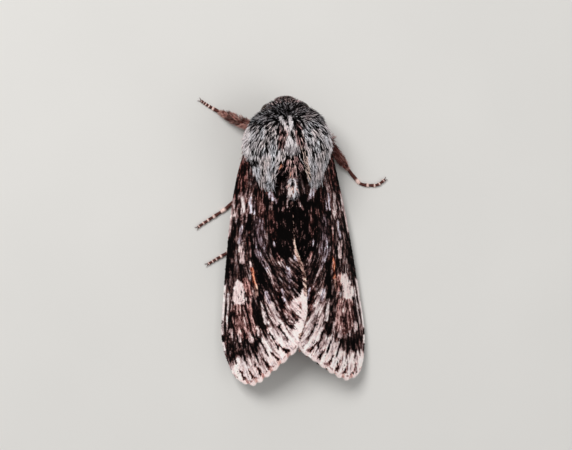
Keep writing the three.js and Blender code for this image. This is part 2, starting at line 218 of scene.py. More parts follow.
WING_ROOT = 9.2
SCALLOPS = 7
APEX_INSET = {-1: 2.25, 1: 1.6}  # by side
LAP = 1.1  # how far the left wing's inner margin lies past the ridge
RIDGE_HEIGHT, RIDGE_RISE = 6.7, 0.1
HEM_HEIGHT, HEM_RISE, HEM_LENGTH, SHOULDER_LIFT = 0.55, 0.55, 9, 1.35
ROOF_ARCH, RIDGE_FLAT = 1.5, 0.8
SHOULDER_RUN = (5, 9.3)  # Y over which it is lifted at the shoulder
COSTA_ROOT, COSTA_GAIN, COSTA_LENGTH, COSTA_CURVE = 4.3, 3.4, 19.9, 0.6
LAP_GROWS, LAP_FADES = (-0.3, 4), (6.8, 11)  # runs tailwards of Y = 0
INNER_GAP, INNER_FLARE, FLARE_FROM = 0.125, 0.61, 4.6  # the inner margins part ahead of the last, a Y
APEX_FROM, APEX_RUN, APEX_CURVE = -8.5, 6.3, 1.9  # of the rounding of the costa into the apex
TERMEN_ROOT, TERMEN_SWEEP, TERMEN_CURVE = -11, 3.7, 1.45  # of the outer margin, the termen
TERMEN_PEAK = 0.82  # share of the way across at which it reaches furthest back
APEX_RISE, SCALLOP_DEPTH = 0.2, 0.3
HINDWING_FRONT, HINDWING_BACK = 6.6, -9.4
HINDWING_INNER, HINDWING_FOLD = 0.5, 0.9  # distance out of its inner margin, and what the root adds
HINDWING_OUTER = (2.6, 5)  # distance out of its front margin at root and end


def costa(y):
    """Distance out of the wings' front edge, the costa."""
    share = np.maximum(0, (WING_ROOT + 0.2 - y) / COSTA_LENGTH)
    return COSTA_ROOT + COSTA_GAIN * share**COSTA_CURVE


def roof(out, y):
    """Height of the folded wings' upper surface."""
    ridge = RIDGE_HEIGHT + RIDGE_RISE * y
    hem = HEM_HEIGHT + HEM_RISE * np.exp(y / HEM_LENGTH) + SHOULDER_LIFT * smooth(y, *SHOULDER_RUN)
    return hem + (ridge - hem) * (1 - (np.abs(out) / costa(y)) ** ROOF_ARCH)


def roof_normal(out, y):
    """The way that the roof faces. It is levelled over the ridge."""
    step = 0.05
    flat = smooth(np.abs(out), 0, RIDGE_FLAT)
    slope_out = flat * (roof(out + step, y) - roof(out - step, y)) / (2 * step)
    slope_along = (roof(out, y + step) - roof(out, y - step)) / (2 * step)
    return unit(rows(-slope_out, -slope_along, 1))


def under_roof(side, out, y, depth):
    """Points at a depth under the roof, measured square to it."""
    point = rows(out, y, roof(out, y))
    point = point - roof_normal(out, y) * (np.asarray(depth) + 0 * out)[..., None]
    point[..., 0] *= side
    return point


def inner_margin(side, y, tuck=0.0):
    """Distance out of a forewing's inner margin. The left wing laps over the ridge."""
    lap = smooth(-y, *LAP_GROWS) - smooth(-y, *LAP_FADES)
    return side * LAP * lap + INNER_GAP - tuck + INNER_FLARE * np.maximum(0, y - FLARE_FROM)


def rounded_costa(side, y):
    """The costa with the wing's apex rounded off."""
    return costa(y) - APEX_INSET[side] * np.maximum(0, (APEX_FROM - y) / APEX_RUN) ** APEX_CURVE


def termen(across):
    """Y of the scalloped outer margin."""
    sweep = 1 - np.abs(1 - across / TERMEN_PEAK) ** TERMEN_CURVE
    apex = APEX_RISE * np.maximum(0, (across - TERMEN_PEAK) / (1 - TERMEN_PEAK)) ** 2
    scallop = SCALLOP_DEPTH * (np.abs(np.sin(math.pi * SCALLOPS * across)) - 0.5)
    return TERMEN_ROOT - TERMEN_SWEEP * sweep + apex - scallop


def forewing_plan(side, across, along, tuck=0.0, inset=0.0):
    """(distance out, y) of a place on a forewing. inset draws the outer margin in."""
    y = mix(WING_ROOT, termen(across) + inset, along)
    return mix(inner_margin(side, y, tuck), rounded_costa(side, y), across), y


def hindwing_plan(across, along):
    """(distance out, y) of a place on a hindwing."""
    y = mix(HINDWING_FRONT, HINDWING_BACK + 2.2 * (across - 0.45) ** 2, along)
    opening = np.sin(math.pi / 2 * np.minimum(1, (HINDWING_FRONT - y) / 12))
    inner = HINDWING_INNER + HINDWING_FOLD * (1 - opening)
    return mix(inner, mix(*HINDWING_OUTER, opening), across), y


# ---- Pattern of the forewings, in distance out and Y ----

VEIN_PLACES = [0, 1, 2.7, 4.2, 6, 7.5]  # distance in from the costa
VEIN_LEAN = [-5, 0, 12, 23, 30, 42]  # degrees by which a vein there nears the midline as it runs tailwards


def vein_heading(out, y):
    """The way that veins and rows of scales run tailwards: fanned out at the root, then leaning inwards."""
    inwards = np.interp(costa(y) - out, VEIN_PLACES, VEIN_LEAN)
    fan = -10 * out / costa(y)
    lean = np.radians(mix(fan, inwards, smooth(-y, -3.5, 3)))
    return -np.sin(lean), -np.cos(lean)


# Each stroke has its start, end, widths at both, tone and tint.
WING_GROUNDS = [
    ((0.6, 3.6), (1.2, -0.6), (3.0, 2.5), 0.022, PLAIN),
    ((3.0, 5.4), (3.3, 2.0), (1.2, 1.0), 0.09, BROWN),
    ((2.2, 3.0), (2.1, 0.8), (0.9, 0.9), 0.11, BROWN),
    ((5.2, 8.6), (5.2, 5.4), (2.0, 1.6), 0.12, REDDISH),
    ((4.5, 4.8), (4.5, 2.7), (1.6, 1.3), 0.24, PINK),
    ((5.9, 3.2), (6.5, -3.0), (0.7, 0.9), 0.06, PLAIN),
    ((3.45, 2.2), (3.3, -1.0), (0.9, 1.2), 0.18, BLUE),
    ((5.5, -6.9), (5.2, -8.8), (2.0, 2.2), 0.31, BROWN),
    ((3.6, -2.5), (3.6, -5.8), (0.6, 0.7), 0.02, PLAIN),
    ((2.6, -2.3), (1.7, -4.3), (0.35, 0.35), 0.04, PLAIN),
    ((2.8, -5.7), (2.1, -8.3), (0.9, 1.5), 0.44, PINK),
    # Next: on the right wing painted shadow under the left wing's edge, on the left its own black patch.
    ((1.75, -5.0), (1.45, -6.9), (0.75, 0.45), 0.03, REDDISH),
    ((1.4, -6.8), (1.1, -7.7), (0.3, 0.1), 0.12, BROWN),
    ((4.0, -6.4), (3.7, -8.6), (0.4, 0.45), 0.08, PLAIN),
    ((1.1, -7.4), (0.7, -8.2), (0.5, 0.9), 0.4, PINK),
    ((3.4, -8.4), (2.3, -10.4), (0.3, 0.12), 0.1, REDDISH),
]
WING_MARKS = [
    ((3.72, 4.3), (3.8, 3.1), (0.12, 0.2), 0.55, BLUE),
    ((4.12, 4.7), (4.15, 3.15), (0.22, 0.2), 0.74, BLUE),
    ((4.82, 4.8), (4.78, 3.3), (0.28, 0.4), 0.72, PLAIN),
    ((4.48, 4.6), (4.45, 2.7), (0.12, 0.12), 0.06, REDDISH),
    ((4.65, 3.1), (4.6, 2.4), (0.4, 0.25), 0.45, PINK),
    ((5.35, 3.9), (5.35, 2.3), (0.3, 0.3), 0.34, PINK),
    ((5.62, 4.1), (5.66, 3.0), (0.13, 0.13), 0.8, PINK),
    ((4.2, 3.0), (4.25, 0.2), (0.16, 0.16), 0.01, PLAIN),
    ((5.08, 1.8), (5.25, 0.3), (0.24, 0.3), 0.5, BLUE),
    ((4.4, 1.2), (4.35, -1.6), (0.1, 0.1), 0.42, REDDISH),
    ((5.2, -0.35), (5.12, -1.75), (0.4, 0.52), 0.7, PINK),
    ((3.6, 0.3), (3.2, -1.2), (0.7, 0.8), 0.3, BLUE),
    ((3.8, -0.9), (2.75, -2.9), (0.5, 0.35), 0.46, BLUE),
    ((2.75, -2.9), (1.95, -4.9), (0.3, 0.35), 0.42, PINK),
    ((2.1, -0.05), (2.05, -0.5), (0.16, 0.16), 0.55, BLUE),
    ((1.62, -1.9), (1.55, -2.4), (0.3, 0.3), 0.5, PINK),
    ((1.9, -1.2), (1.6, -1.8), (0.2, 0.2), 0.35, REDDISH),
    ((0.85, -2.8), (0.75, -4.6), (0.45, 0.3), 0.46, BLUE),
    ((1.55, -4.9), (1.3, -6.0), (0.18, 0.3), 0.66, BLUE),
    ((4.4, -1.9), (4.3, -2.8), (0.12, 0.26), 0.62, PINK),
    ((4.95, -3.9), (4.7, -5.1), (0.75, 0.65), 0.38, REDDISH),
    ((5.3, -6.7), (5.1, -8.3), (0.14, 0.14), 0.55, PINK),
    ((4.62, -5.6), (4.55, -7.4), (0.12, 0.12), 0.45, REDDISH),
    ((3.62, -6.2), (3.2, -8.2), (0.2, 0.42), 0.76, PLAIN),
    ((2.6, -6.2), (1.8, -8.3), (0.3, 0.5), 0.7, PLAIN),
    ((3.0, -5.1), (2.8, -6.2), (0.3, 0.3), 0.6, BLUE),
    ((6.55, -8.9), (6.5, -9.5), (0.3, 0.36), 0.66, PINK),
    ((5.9, -9.4), (5.75, -10.0), (0.2, 0.34), 0.76, PINK),
    ((4.8, -9.3), (4.65, -10.0), (0.3, 0.5), 0.72, PINK),
    ((4.05, -8.6), (3.95, -9.3), (0.24, 0.34), 0.68, PINK),
    ((2.2, 5.05), (2.0, 4.5), (0.5, 0.45), 0.62, BLUE),
    ((1.75, 4.5), (1.65, 4.1), (0.2, 0.2), 0.45, BLUE),
    ((0.5, 4.3), (0.8, 3.6), (0.3, 0.25), 0.6, PLAIN),
    ((0.8, 3.7), (1.15, 3.3), (0.25, 0.2), 0.4, PINK),
]
# The pale kidney mark near the middle of each forewing, by side.
RENIFORM = {
    -1: ((5.64, -4.1), (5.66, -5.65), (0.7, 1.3), 0.9, PINK),
    1: ((5.5, -4.0), (5.85, -5.6), (0.85, 1.4), 0.92, PINK),
}
# The rust dash between that mark and the midline, by side.
RUST_DASH = {
    -1: [
        ((4.28, -2.6), (4.02, -4.6), (0.26, 0.34), 0.46, RUST),
        ((4.05, -4.4), (4.0, -5.3), (0.26, 0.26), 0.55, TAN),
    ],
    1: [
        ((4.28, -1.7), (4.36, -4.3), (0.2, 0.34), 0.46, RUST),
        ((4.36, -4.2), (4.42, -5.0), (0.3, 0.26), 0.55, TAN),
    ],
}
# What only the left wing shows, where it laps over the ridge.
LAP_MARKS = [
    ((0.05, -0.1), (-0.25, -1.8), (0.3, 0.4), 0.82, TAN),
    ((0.1, -1.6), (0.05, -1.9), (0.2, 0.2), 0.6, BLUE),
    ((-0.25, -2.8), (-0.3, -5.0), (0.6, 0.5), 0.03, PLAIN),
    ((0.15, -6.6), (0.3, -7.4), (0.6, 0.6), 0.6, PINK),
    ((1.0, -6.4), (0.6, -7.9), (0.6, 0.9), 0.46, PINK),
    ((0.5, -5.7), (0.7, -6.6), (0.3, 0.3), 0.4, BROWN),
    ((-0.5, -5.9), (0.4, -6.3), (0.9, 0.7), 0.8, PINK),
    ((0.3, -6.6), (-0.4, -7.3), (0.8, 0.9), 0.8, PINK),
    ((-0.8, -5.2), (-0.5, -7.0), (0.75, 1.25), 0.95, PINK),
    ((-0.25, -6.3), (-0.15, -6.9), (0.16, 0.2), 0.6, BROWN),
    ((1.1, -7.3), (-0.5, -8.1), (0.2, 0.3), 0.4, BROWN),
    ((-0.5, -7.6), (-0.3, -8.4), (0.9, 0.7), 0.82, PINK),
    ((-0.1, -8.6), (0.0, -9.2), (1.0, 1.3), 0.97, PINK),
    ((0.75, -7.2), (0.1, -8.3), (0.12, 0.1), 0.1, PLAIN),
    ((0.95, -7.6), (0.35, -8.5), (0.1, 0.1), 0.1, PLAIN),
    ((-0.2, -9.6), (-0.15, -9.9), (0.36, 0.4), 0.42, TAN),
]
PALE_BORDER = [(-1.5, -8.4), (0.8, -8.2), (2, -8.3), (3, -9.2), (4, -10.4), (5, -11), (7.5, -12)]


def margin_marks(side):
    """Black wedges that run in from the notches of the outer margin, and black dashes between them."""
    marks = []
    for notch in range(SCALLOPS):
        share = notch / SCALLOPS
        if notch:
            y = termen(share) + 0.5
            out = mix(inner_margin(side, y), rounded_costa(side, y), share) + 0.1
            lean = math.radians(mix(52, 18, share))
            front = (out + 1.05 * math.sin(lean), y + 1.05 * math.cos(lean))
            marks.append(((out, y), front, (0.36, 0.06), 0.1, REDDISH))
        out = 0.15 + notch
        y = termen(share + 0.02) + 1.9
        lean = math.radians(mix(32, 12, share))
        front = (out + 1.7 * math.sin(lean), y + 1.7 * math.cos(lean))
        marks.append(((out, y), front, (0.1, 0.24), 0.05, PLAIN))
    return marks


def forewing_colour(side, out, y, grain):
    """Colours at places on a forewing. grain, from 0 to 1, sets each scale apart from its neighbours."""
    seed = 10 + side
    fine = streaks(out, y, vein_heading, 0.1, 0.3, seed)
    broad = streaks(out, y, vein_heading, 0.34, 2.2, seed + 5)
    texture = spread(0.75 * fine + 0.25 * grain)
    hue = noise(out / 0.14, y / 0.4, seed + 9) + 0.6 * (grain * 7 % 1) - 0.8
    tint = PLAIN + hue[:, None] * np.array([0.24, -0.06, -0.18])
    tone, tint = lay_marks(0.17 + 0 * y, tint, WING_GROUNDS, out, y)
    tone = tone * mix(0.25, 1.75, broad)
    border = np.interp(out, *zip(*PALE_BORDER)) + 1.5 * (broad - 0.5)
    pale = smooth(border - y, -0.35, 0.35)
    value = (0.78 + 0.14 * smooth(border - y, 0.5, 2.5)) * mix(0.7, 1.2, broad)
    tone, tint = lay(tone, tint, pale, value, PINK, 0.6)
    tone = mix(tone, 0.13, smooth(out, 4.5, 5.0) * window(-y, 9.6, 10.1, 11.4, 12.1))
    marks = [*WING_MARKS, *RUST_DASH[side], RENIFORM[side], *margin_marks(side)]
    tone, tint = lay_marks(tone, tint, marks, out, y)
    tone, tint = costal_edge(side, out, y, tone, tint, texture)
    tone, tint = lay(tone, tint, 0.8 * outer_line(side, out, y), 0.36, BROWN)
    if side < 0:
        tone, tint = lay_marks(tone, tint, LAP_MARKS, out, y)
        edge = 1 - smooth(out - inner_margin(side, y), 0.26, 0.44)
        edge = edge * window(-y, 1, 1.6, 5, 6)
        tone, tint = lay(tone, tint, edge, 0.32 + 0.4 * noise(y / 0.5, 0 * y, 98), TAN)
    return toned(grained(tone, texture), SCALE_COLOURS, tint)


def outer_line(side, out, y):
    """The broken brown line just inside the fringe."""
    inner = inner_margin(side, y)
    share = np.clip((out - inner) / (rounded_costa(side, y) - inner), 0, 1)
    line = 1 - smooth(np.abs(y - termen(share) - 0.55), 0.05, 0.14)
    return line * smooth(noise(share * 40, 0 * y, 62), 0.3, 0.5)


def costal_edge(side, out, y, tone, tint, texture):
    """The costa: pinkish from the root, black beyond, then white in lines and a last dash."""
    inward = rounded_costa(side, y) - out + 0.1 * (texture - 0.5)
    edge = 1 - smooth(inward, 0.14, 0.26)
    pinkish = edge * window(y, 0.2, 0.9, 4.6, 5.4)
    black = (1 - smooth(inward, 0.35, 0.5)) * window(y, -4.1, -3.7, 0.2, 0.9)
    dashes = window(-y, 4.1, 4.3, 9.2, 9.5) + window(-y, 10, 10.2, 10.9, 11.1)
    line = (1 - smooth(np.abs(inward - 0.5), 0.05, 0.12)) * window(-y, 4.8, 5.2, 8.8, 9.2)
    tone, tint = lay(tone, tint, pinkish, 0.62, PINK)
    tone, tint = lay(tone, tint, black, 0.02, PLAIN)
    return lay(tone, tint, np.maximum(edge * dashes, 0.8 * line), 0.86, PLAIN)


def plain_wing_colour(out, y, grain):
    """Colours of a hindwing, or of a forewing's underside."""
    tone = 0.66 - 0.2 * noise(out * 2, y * 0.6, 41) - 0.3 * smooth(-y, 8, 11)
    marks = [((3.2, -3.6), (3.1, -4.4), (0.6, 0.7), 0.25, PLAIN)]
    tone, tint = lay_marks(tone, TAN + 0 * out[:, None], marks, out, y)
    return toned(grained(tone, 0.5 + 0.5 * (grain - 0.5)), SCALE_COLOURS, tint)


# ---- Form and pattern of the coat over the thorax ----

COAT_MIDDLE = 9.5
COAT_HALF, COAT_CROWN = 4.85, 8.8  # half its width, and its height, at the middle
COAT_AHEAD, COAT_BEHIND = 4.6, 4.7  # its reach before the middle, and that of its narrowing behind
COAT_WAIST = 4  # height at which it is widest
PLAN_POWER, DOME_POWER = 2.2, 2.3  # the larger, the squarer


def coat_width(y, depth=0.0):
    """Half the width of the coat, or of what lies at a depth under its surface."""
    ahead = np.minimum(1, np.maximum(0, y - COAT_MIDDLE) / (COAT_AHEAD - depth))
    behind = np.maximum(0, COAT_MIDDLE - y) / COAT_BEHIND
    rounded = (1 - ahead**PLAN_POWER) ** (1 / PLAN_POWER)
    return (COAT_HALF - depth) * rounded - COAT_HALF * 0.44 * behind**1.3


def coat_top(out, y, depth=0.0):
    """Height of the coat's surface, or of what lies at a depth under it."""
    width = coat_width(y, depth)
    ahead = y > COAT_MIDDLE
    fall = 0.07 * np.maximum(0, COAT_MIDDLE - y) ** 1.9
    rise = (COAT_CROWN - depth - COAT_WAIST) * width / (COAT_HALF - depth)
    crown = np.where(ahead, COAT_WAIST + rise, COAT_CROWN - depth - fall)
    base = np.where(ahead, COAT_WAIST, np.minimum(COAT_WAIST, roof(width, y)))
    share = np.maximum(0, 1 - (np.abs(out) / np.maximum(width, 1e-3)) ** DOME_POWER)
    return base + (crown - base) * share ** (1 / DOME_POWER)


SKIRT_TIP = 2.6  # distance out of the point that the hair over each wing root gathers to


def coat_heading(x, y):
    """The lie of the coat from above: forwards and outwards in front, then back, and in to the skirts."""
    out = np.abs(x)
    front = smooth(y, 12.0, 13.2)
    fan = window(y, 6.6, 7.4, 8.4, 9.0) * (1 - smooth(out, 0.9, 1.4))
    gather = 0.32 * (SKIRT_TIP - out) * smooth(-y, -10.2, -7.6) * smooth(out, 0.9, 1.5)
    away = 0.28 * smooth(y, 9, 11) * smooth(out, 0.4, 1.5)
    x_way = np.sign(x) * (gather + away + 0.9 * fan * out) * (1 - front) + 0.35 * front * x
    y_way = mix(-1.0, 0.45, front)
    size = np.hypot(x_way, y_way)
    return x_way / size, y_way / size


# In distance from the midline.
COAT_GROUNDS = [
    ((0.7, 11.8), (1.0, 9.6), (0.7, 0.9), 0.24, REDDISH),
    ((1.05, 7.2), (1.15, 4.8), (0.9, 1.0), 0.04, REDDISH),
    ((0.0, 8.4), (0.0, 7.3), (1.3, 2.3), 0.36, REDDISH),
    ((1.35, 7.45), (1.3, 7.3), (0.16, 0.16), 0.4, RUST),
    ((4.75, 8.5), (4.6, 7.8), (0.5, 0.6), 0.05, REDDISH),
    ((4.45, 9.25), (4.5, 9.0), (0.35, 0.4), 0.92, PLAIN),
]
# In X: the head is turned a little to the left, and the marks on its hood with it.
HOOD_MARKS = [
    ((-0.7, 8.6), (0.7, 8.6), (0.2, 0.2), 0.08, PLAIN),
    ((-0.2, 10.7), (-0.04, 9.25), (0.15, 1.6), 0.79, PLAIN),
    # Next: painted shadow along the crease at the hood's right edge.
    ((0.75, 10.4), (1.1, 9.2), (0.25, 0.35), 0.2, REDDISH),
    ((1.15, 9.2), (1.75, 6.2), (0.35, 0.6), 0.42, TAN),
    ((0.55, 12.6), (0.4, 11.3), (0.35, 0.3), 0.08, PLAIN),
    ((-1.25, 12.4), (-0.75, 11.0), (0.35, 0.3), 0.12, PLAIN),
    ((-1.0, 12.65), (-0.38, 11.3), (0.4, 0.32), 1, PLAIN),
    ((0.08, 12.6), (0.0, 11.3), (0.48, 0.34), 1, PLAIN),
    ((-0.45, 12.9), (-0.28, 11.9), (0.3, 0.12), 0.05, PLAIN),
]
RING_CENTRE, RING_SIZE = (-0.08, 5.3), (0.62, 1.2)  # the crest's ring of white hair
RING_MARKS = [
    ((-0.08, 5.95), (-0.08, 5.55), (0.36, 0.46), 0.04, PLAIN),
    ((-0.1, 5.2), (-0.06, 4.75), (0.1, 0.12), 0.35, RUST),
]


def coat_pattern(x, y):
    """Tone and tint of the coat over thorax and hood, at places seen from above."""
    out = np.abs(x)
    tint = PLAIN + (noise(x / 0.5, y / 0.9, 72) - 0.5)[:, None] * np.array([0.16, -0.02, -0.1])
    front = smooth(y, 12.1, 13.1)
    tone = 0.5 + 0.12 * smooth(out, 3.6, 4.4) - 0.08 * smooth(-y, -8.5, -6.5)
    tone = mix(tone, 0.14, front)
    rim = smooth(y, 13.9, 14.5)
    tone, tint = lay(tone, tint, rim, 0.5, REDDISH, 0.8)
    tone, tint = lay_marks(tone, tint, COAT_GROUNDS, out, y)
    tone, tint = lay_marks(tone, tint, HOOD_MARKS, x, y)
    reach = np.hypot((x - RING_CENTRE[0]) / RING_SIZE[0], (y - RING_CENTRE[1]) / RING_SIZE[1])
    ring = 1 - smooth(reach + 0.5 * (noise(x / 0.2, y / 0.3, 74) - 0.5), 0.85, 1.1)
    flecks = ring * smooth(noise(x / 0.22, y / 0.3, 73), 0.74, 0.84)
    tone, tint = lay(mix(tone, 1, ring), tint, flecks, 0.5, RUST, 0.8)
    return lay_marks(tone, tint, RING_MARKS, x, y)


def locks(x, y):
    """Where the hair gathers into locks, 1, and where it parts, 0."""
    return streaks(x, y, coat_heading, 0.17, 0.32, 71)


def undercoat(x, y, grain):
    """Colours of the dense coat, which is darker than what lies over it except in the white marks, and
    painted darker still where the hair parts between locks, as shade in the partings.
    """
    tone, tint = coat_pattern(x, y)
    # Low where the hair parts between locks: painted shade in the partings, mixed with random grain.
    texture = 0.7 * locks(x, y) + 0.3 * grain
    return toned(grained(tone**3.2, texture), HAIR_COLOURS, tint)


def overcoat(x, y, grain):
    """Colours of the long strands that lie over the dense coat."""
    tone, tint = coat_pattern(x, y)
    return toned(grained(1 - (1 - tone) ** 3, 0.1 + 0.9 * grain), HAIR_COLOURS, tint)


# ---- Meshes ----


def deselect():
    if bpy.context.mode != "OBJECT":
        bpy.ops.object.mode_set(mode="OBJECT")
    bpy.ops.object.select_all(action="DESELECT")


def activate(piece, *others):
    deselect()
    for other in (piece, *others):
        other.select_set(True)
    bpy.context.view_layer.objects.active = piece


# Roughness, specular level, relief and grain of each kind of surface.
SURFACES = {
    "hair": (0.6, 0.06, 0, 6000),
    "scales": (0.65, 0.03, 0, 5000),
    "skin": (0.75, 0.15, 0.5, 9000),
}


def finish(piece, name, surface=None, nodes=()):
    """Names a piece, rides it on the body, hides the solids that it stands for and gives it its surface."""
    piece.name = name
    piece.data.name = name
    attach(piece, "root")
    if nodes:
        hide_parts(*nodes)
    if surface:
        add_surface(piece, *SURFACES[surface])


def edit(operation, **options):
    """Runs a mesh operator on the whole of the active piece."""
    bpy.ops.object.mode_set(mode="EDIT")
    bpy.ops.mesh.select_all(action="SELECT")
    operation(**options)
    bpy.ops.object.mode_set(mode="OBJECT")


def read(items, field, kind=float):
    """A field of three numbers for each of a mesh's items."""
    flat = np.empty(len(items) * 3, dtype=kind)
    items.foreach_get(field, flat)
    return flat.reshape(-1, 3)


def vertices_of(mesh):
    return read(mesh.vertices, "co")


def move_vertices(mesh, points):
    mesh.vertices.foreach_set("co", np.asarray(points, dtype=float).ravel())
    mesh.update()


def above_floor(points):
    points[:, 2] = np.maximum(points[:, 2], 0)
    return points


def paint(mesh, colours):
    """Stores a colour for each vertex, which the materials read."""
    attribute = mesh.color_attributes.new("Marking", "FLOAT_COLOR", "POINT")
    rgba = np.ones((len(mesh.vertices), 4))
    rgba[:, :3] = colours
    attribute.data.foreach_set("color", rgba.ravel())


PATCH = 0.003  # size of a tuft's patch on the bake map


def chart(across, along):
    """Places on the bake map, inside its rim, for shares of its width and height."""
    return 0.02 + 0.95 * np.stack([across, along], axis=-1)


def tufts(name, corners, faces, colours, roots_uv, patch):
    """One object of many small closed shapes. corners and colours are by shape and corner, faces the
    corners of a shape's triangles, and patch their places on its patch of the bake map."""
    count, size = corners.shape[:2]
    triangles = (np.array(faces)[None] + size * np.arange(count)[:, None, None]).reshape(-1, 3)
    mesh = bpy.data.meshes.new(name)
    mesh.vertices.add(count * size)
    mesh.vertices.foreach_set("co", to_frame(above_floor(corners.reshape(-1, 3))).ravel())
    mesh.loops.add(triangles.size)
    mesh.loops.foreach_set("vertex_index", triangles.ravel().astype(np.int32))
    mesh.polygons.add(len(triangles))
    mesh.polygons.foreach_set("loop_start", np.arange(0, triangles.size, 3, dtype=np.int32))
    mesh.polygons.foreach_set("loop_total", np.full(len(triangles), 3, dtype=np.int32))
    mesh.update(calc_edges=True)
    mesh.shade_flat()
    paint(mesh, colours.reshape(-1, 3))
    places = (roots_uv[:, None] + np.array(patch) * PATCH).reshape(-1, 2)
    mesh.uv_layers.new(name="OFBake").data.foreach_set("uv", places[triangles.ravel()].ravel())
    piece = bpy.data.objects.new(name, mesh)
    bpy.context.collection.objects.link(piece)
    return piece


def by_shape(count, *values):
    """Each value, the same for all shapes or one for each, as a column."""
    return [np.broadcast_to(value, count)[:, None] for value in values]


HAIR_FACES = [(0, 2, 1)] + [
    face
    for corner in range(3)
    for face in (
        (corner, (corner + 1) % 3, (corner + 1) % 3 + 3),
        (corner, (corner + 1) % 3 + 3, corner + 3),
        (corner + 3, (corner + 1) % 3 + 3, 6),
    )
]
HAIR_PATCH = [(-0.5, 0), (0.5, 0), (0, 0.1), (-0.5, 0.5), (0.5, 0.5), (0, 0.6), (0, 1)]
# Hairs are painted darker at the root: partly their own colour, partly painted shade deep in the coat.
HAIR_SHADES = np.array([0, 0, 0, 0.8, 0.8, 0.8, 1])  # from the colour at the root to that at the tip
HAIR_HEIGHT = 0.5  # of a hair's section, as a share of its width
ROOT_DEPTH = 0.04  # how deep a hair is set in the skin


def hairs(name, roots, heading, normals, length, width, bend, root_colour, tip_colour, roots_uv):
    """Tapered three-sided hairs. heading is the way each sets out, and bend how far its tip then turns down
    to the skin, as a share of its length."""
    length, width, bend = by_shape(len(roots), length, width, bend)
    across = unit(np.cross(heading, normals))
    over = np.cross(across, heading)
    middle = roots + heading * length * 0.5 - normals * bend * length * 0.18
    corners = []
    for centre, share in ((roots - ROOT_DEPTH * normals, 0.7), (middle, 1.0)):
        for corner in range(3):
            turn = math.radians(90 + 120 * corner)
            section = across * math.cos(turn) + over * HAIR_HEIGHT * math.sin(turn)
            corners.append(centre + section * width * share / 2)
    corners.append(roots + heading * length - normals * bend * length * 0.8)
    colours = mix(root_colour[:, None], tip_colour[:, None], HAIR_SHADES[None, :, None])
    return tufts(name, np.stack(corners, axis=1), HAIR_FACES, colours, roots_uv, HAIR_PATCH)


SCALE_FACES = [(0, 1, 4), (1, 2, 4), (2, 3, 4), (3, 0, 4), (0, 2, 1), (0, 3, 2)]
SCALE_PATCH = [(0, 0), (0.5, 0.7), (0, 1), (-0.5, 0.7), (0, 0.5)]
# Painted shade and light on each scale: darker at its root under the scale ahead, lighter at its tip.
SCALE_PAINTED_SHADING = np.array([0.75, 1, 1.04, 1, 1])
SCALE_LIFT, SCALE_CROWN = 0.035, 0.012


def scales(name, roots, heading, normals, length, width, colours, roots_uv):
    """Thin closed kites with a raised middle, which lap like tiles along heading. Their corners carry
    painted shade at the root, under the scale ahead, and painted light at the raised tip.
    """
    length, width = by_shape(len(roots), length, width)
    across = unit(np.cross(heading, normals)) * width / 2
    tip = roots + heading * length + normals * SCALE_LIFT
    shoulder = roots + heading * length * 0.72 + normals * SCALE_LIFT * 0.7
    crown = roots + heading * length * 0.55 + normals * (SCALE_LIFT * 0.6 + SCALE_CROWN)
    corners = np.stack([roots, shoulder + across, tip, shoulder - across, crown], axis=1)
    painted = colours[:, None] * SCALE_PAINTED_SHADING[None, :, None]
    return tufts(name, corners, SCALE_FACES, painted, roots_uv, SCALE_PATCH)


# ---- Materials ----


def node_material(name, kinds, wires):
    """A material made of nodes. kinds gives the type, options and inputs of each, and each wire runs from
    one node's output to another's input."""
    material = bpy.data.materials.new(name)
    material.use_nodes = True
    tree = material.node_tree
    made = {"shader": tree.nodes["Principled BSDF"]}
    for key, (kind, options, inputs) in kinds.items():
        if key not in made:
            made[key] = tree.nodes.new("ShaderNode" + kind)
        for option, value in options.items():
            setattr(made[key], option, value)
        for socket, value in inputs.items():
            made[key].inputs[socket].default_value = value
    for start, output, end, socket in wires:
        tree.links.new(made[start].outputs[output], made[end].inputs[socket])
    return material, made


def set_ramp(node, *stops):
    """Gives a colour ramp its places and colours."""
    for element, (position, colour) in zip(node.color_ramp.elements, stops):
        element.position = position
        element.color = (*colour, 1)


def add_surface(piece, roughness, specular, bump, grain):
    """Gives a piece a material coloured by its marking, with fine grain in shade and relief."""
    kinds = {
        "shader": ("", {}, {"Specular IOR Level": specular}),
        "marking": ("Attribute", {"attribute_name": "Marking"}, {}),
        "place": ("TexCoord", {}, {}),
        "fine": ("TexNoise", {}, {"Scale": grain, "Detail": 3}),
        "shade": ("MapRange", {}, {"To Min": 0.8, "To Max": 1.2}),
        "tint": ("Mix", {"data_type": "RGBA", "blend_type": "MULTIPLY"}, {"Factor": 1}),
        "rough": ("MapRange", {}, {"To Min": roughness - 0.08, "To Max": roughness + 0.08}),
        "relief": ("Bump", {}, {"Strength": bump, "Distance": 0.05 * MM}),
    }
    wires = [
        ("place", "Object", "fine", "Vector"),
        ("fine", "Fac", "shade", "Value"),
        ("fine", "Fac", "rough", "Value"),
        ("fine", "Fac", "relief", "Height"),
        ("marking", "Color", "tint", "A"),
        ("shade", "Result", "tint", "B"),
        ("tint", "Result", "shader", "Base Color"),
        ("rough", "Result", "shader", "Roughness"),
        ("relief", "Normal", "shader", "Normal"),
    ]
    material, _ = node_material("moth_" + piece.name, kinds, wires)
    piece.data.materials.clear()
    piece.data.materials.append(material)


# ---- Settings ----

MOST_HAIRS = 19900  # in one piece, at ten triangles each


def length_setting(name, description, millimetres):
    return bpy.props.FloatProperty(
        name=name, description=description, default=millimetres * MM, unit="LENGTH", precision=5, min=0
    )


def count_setting(name, description, count):
    return bpy.props.IntProperty(name=name, description=description, default=count, max=MOST_HAIRS)


def number_setting(name, description, number):
    return bpy.props.FloatProperty(name=name, description=description, default=number)


def colour_setting(name, description, colour):
    default = [value / 255 for value in colour]
    return bpy.props.FloatVectorProperty(
        name=name, description=description, default=default, size=3, subtype="COLOR_GAMMA", min=0, max=1
    )


def setting_colour(setting):
    return linear(np.array(setting) * 255)


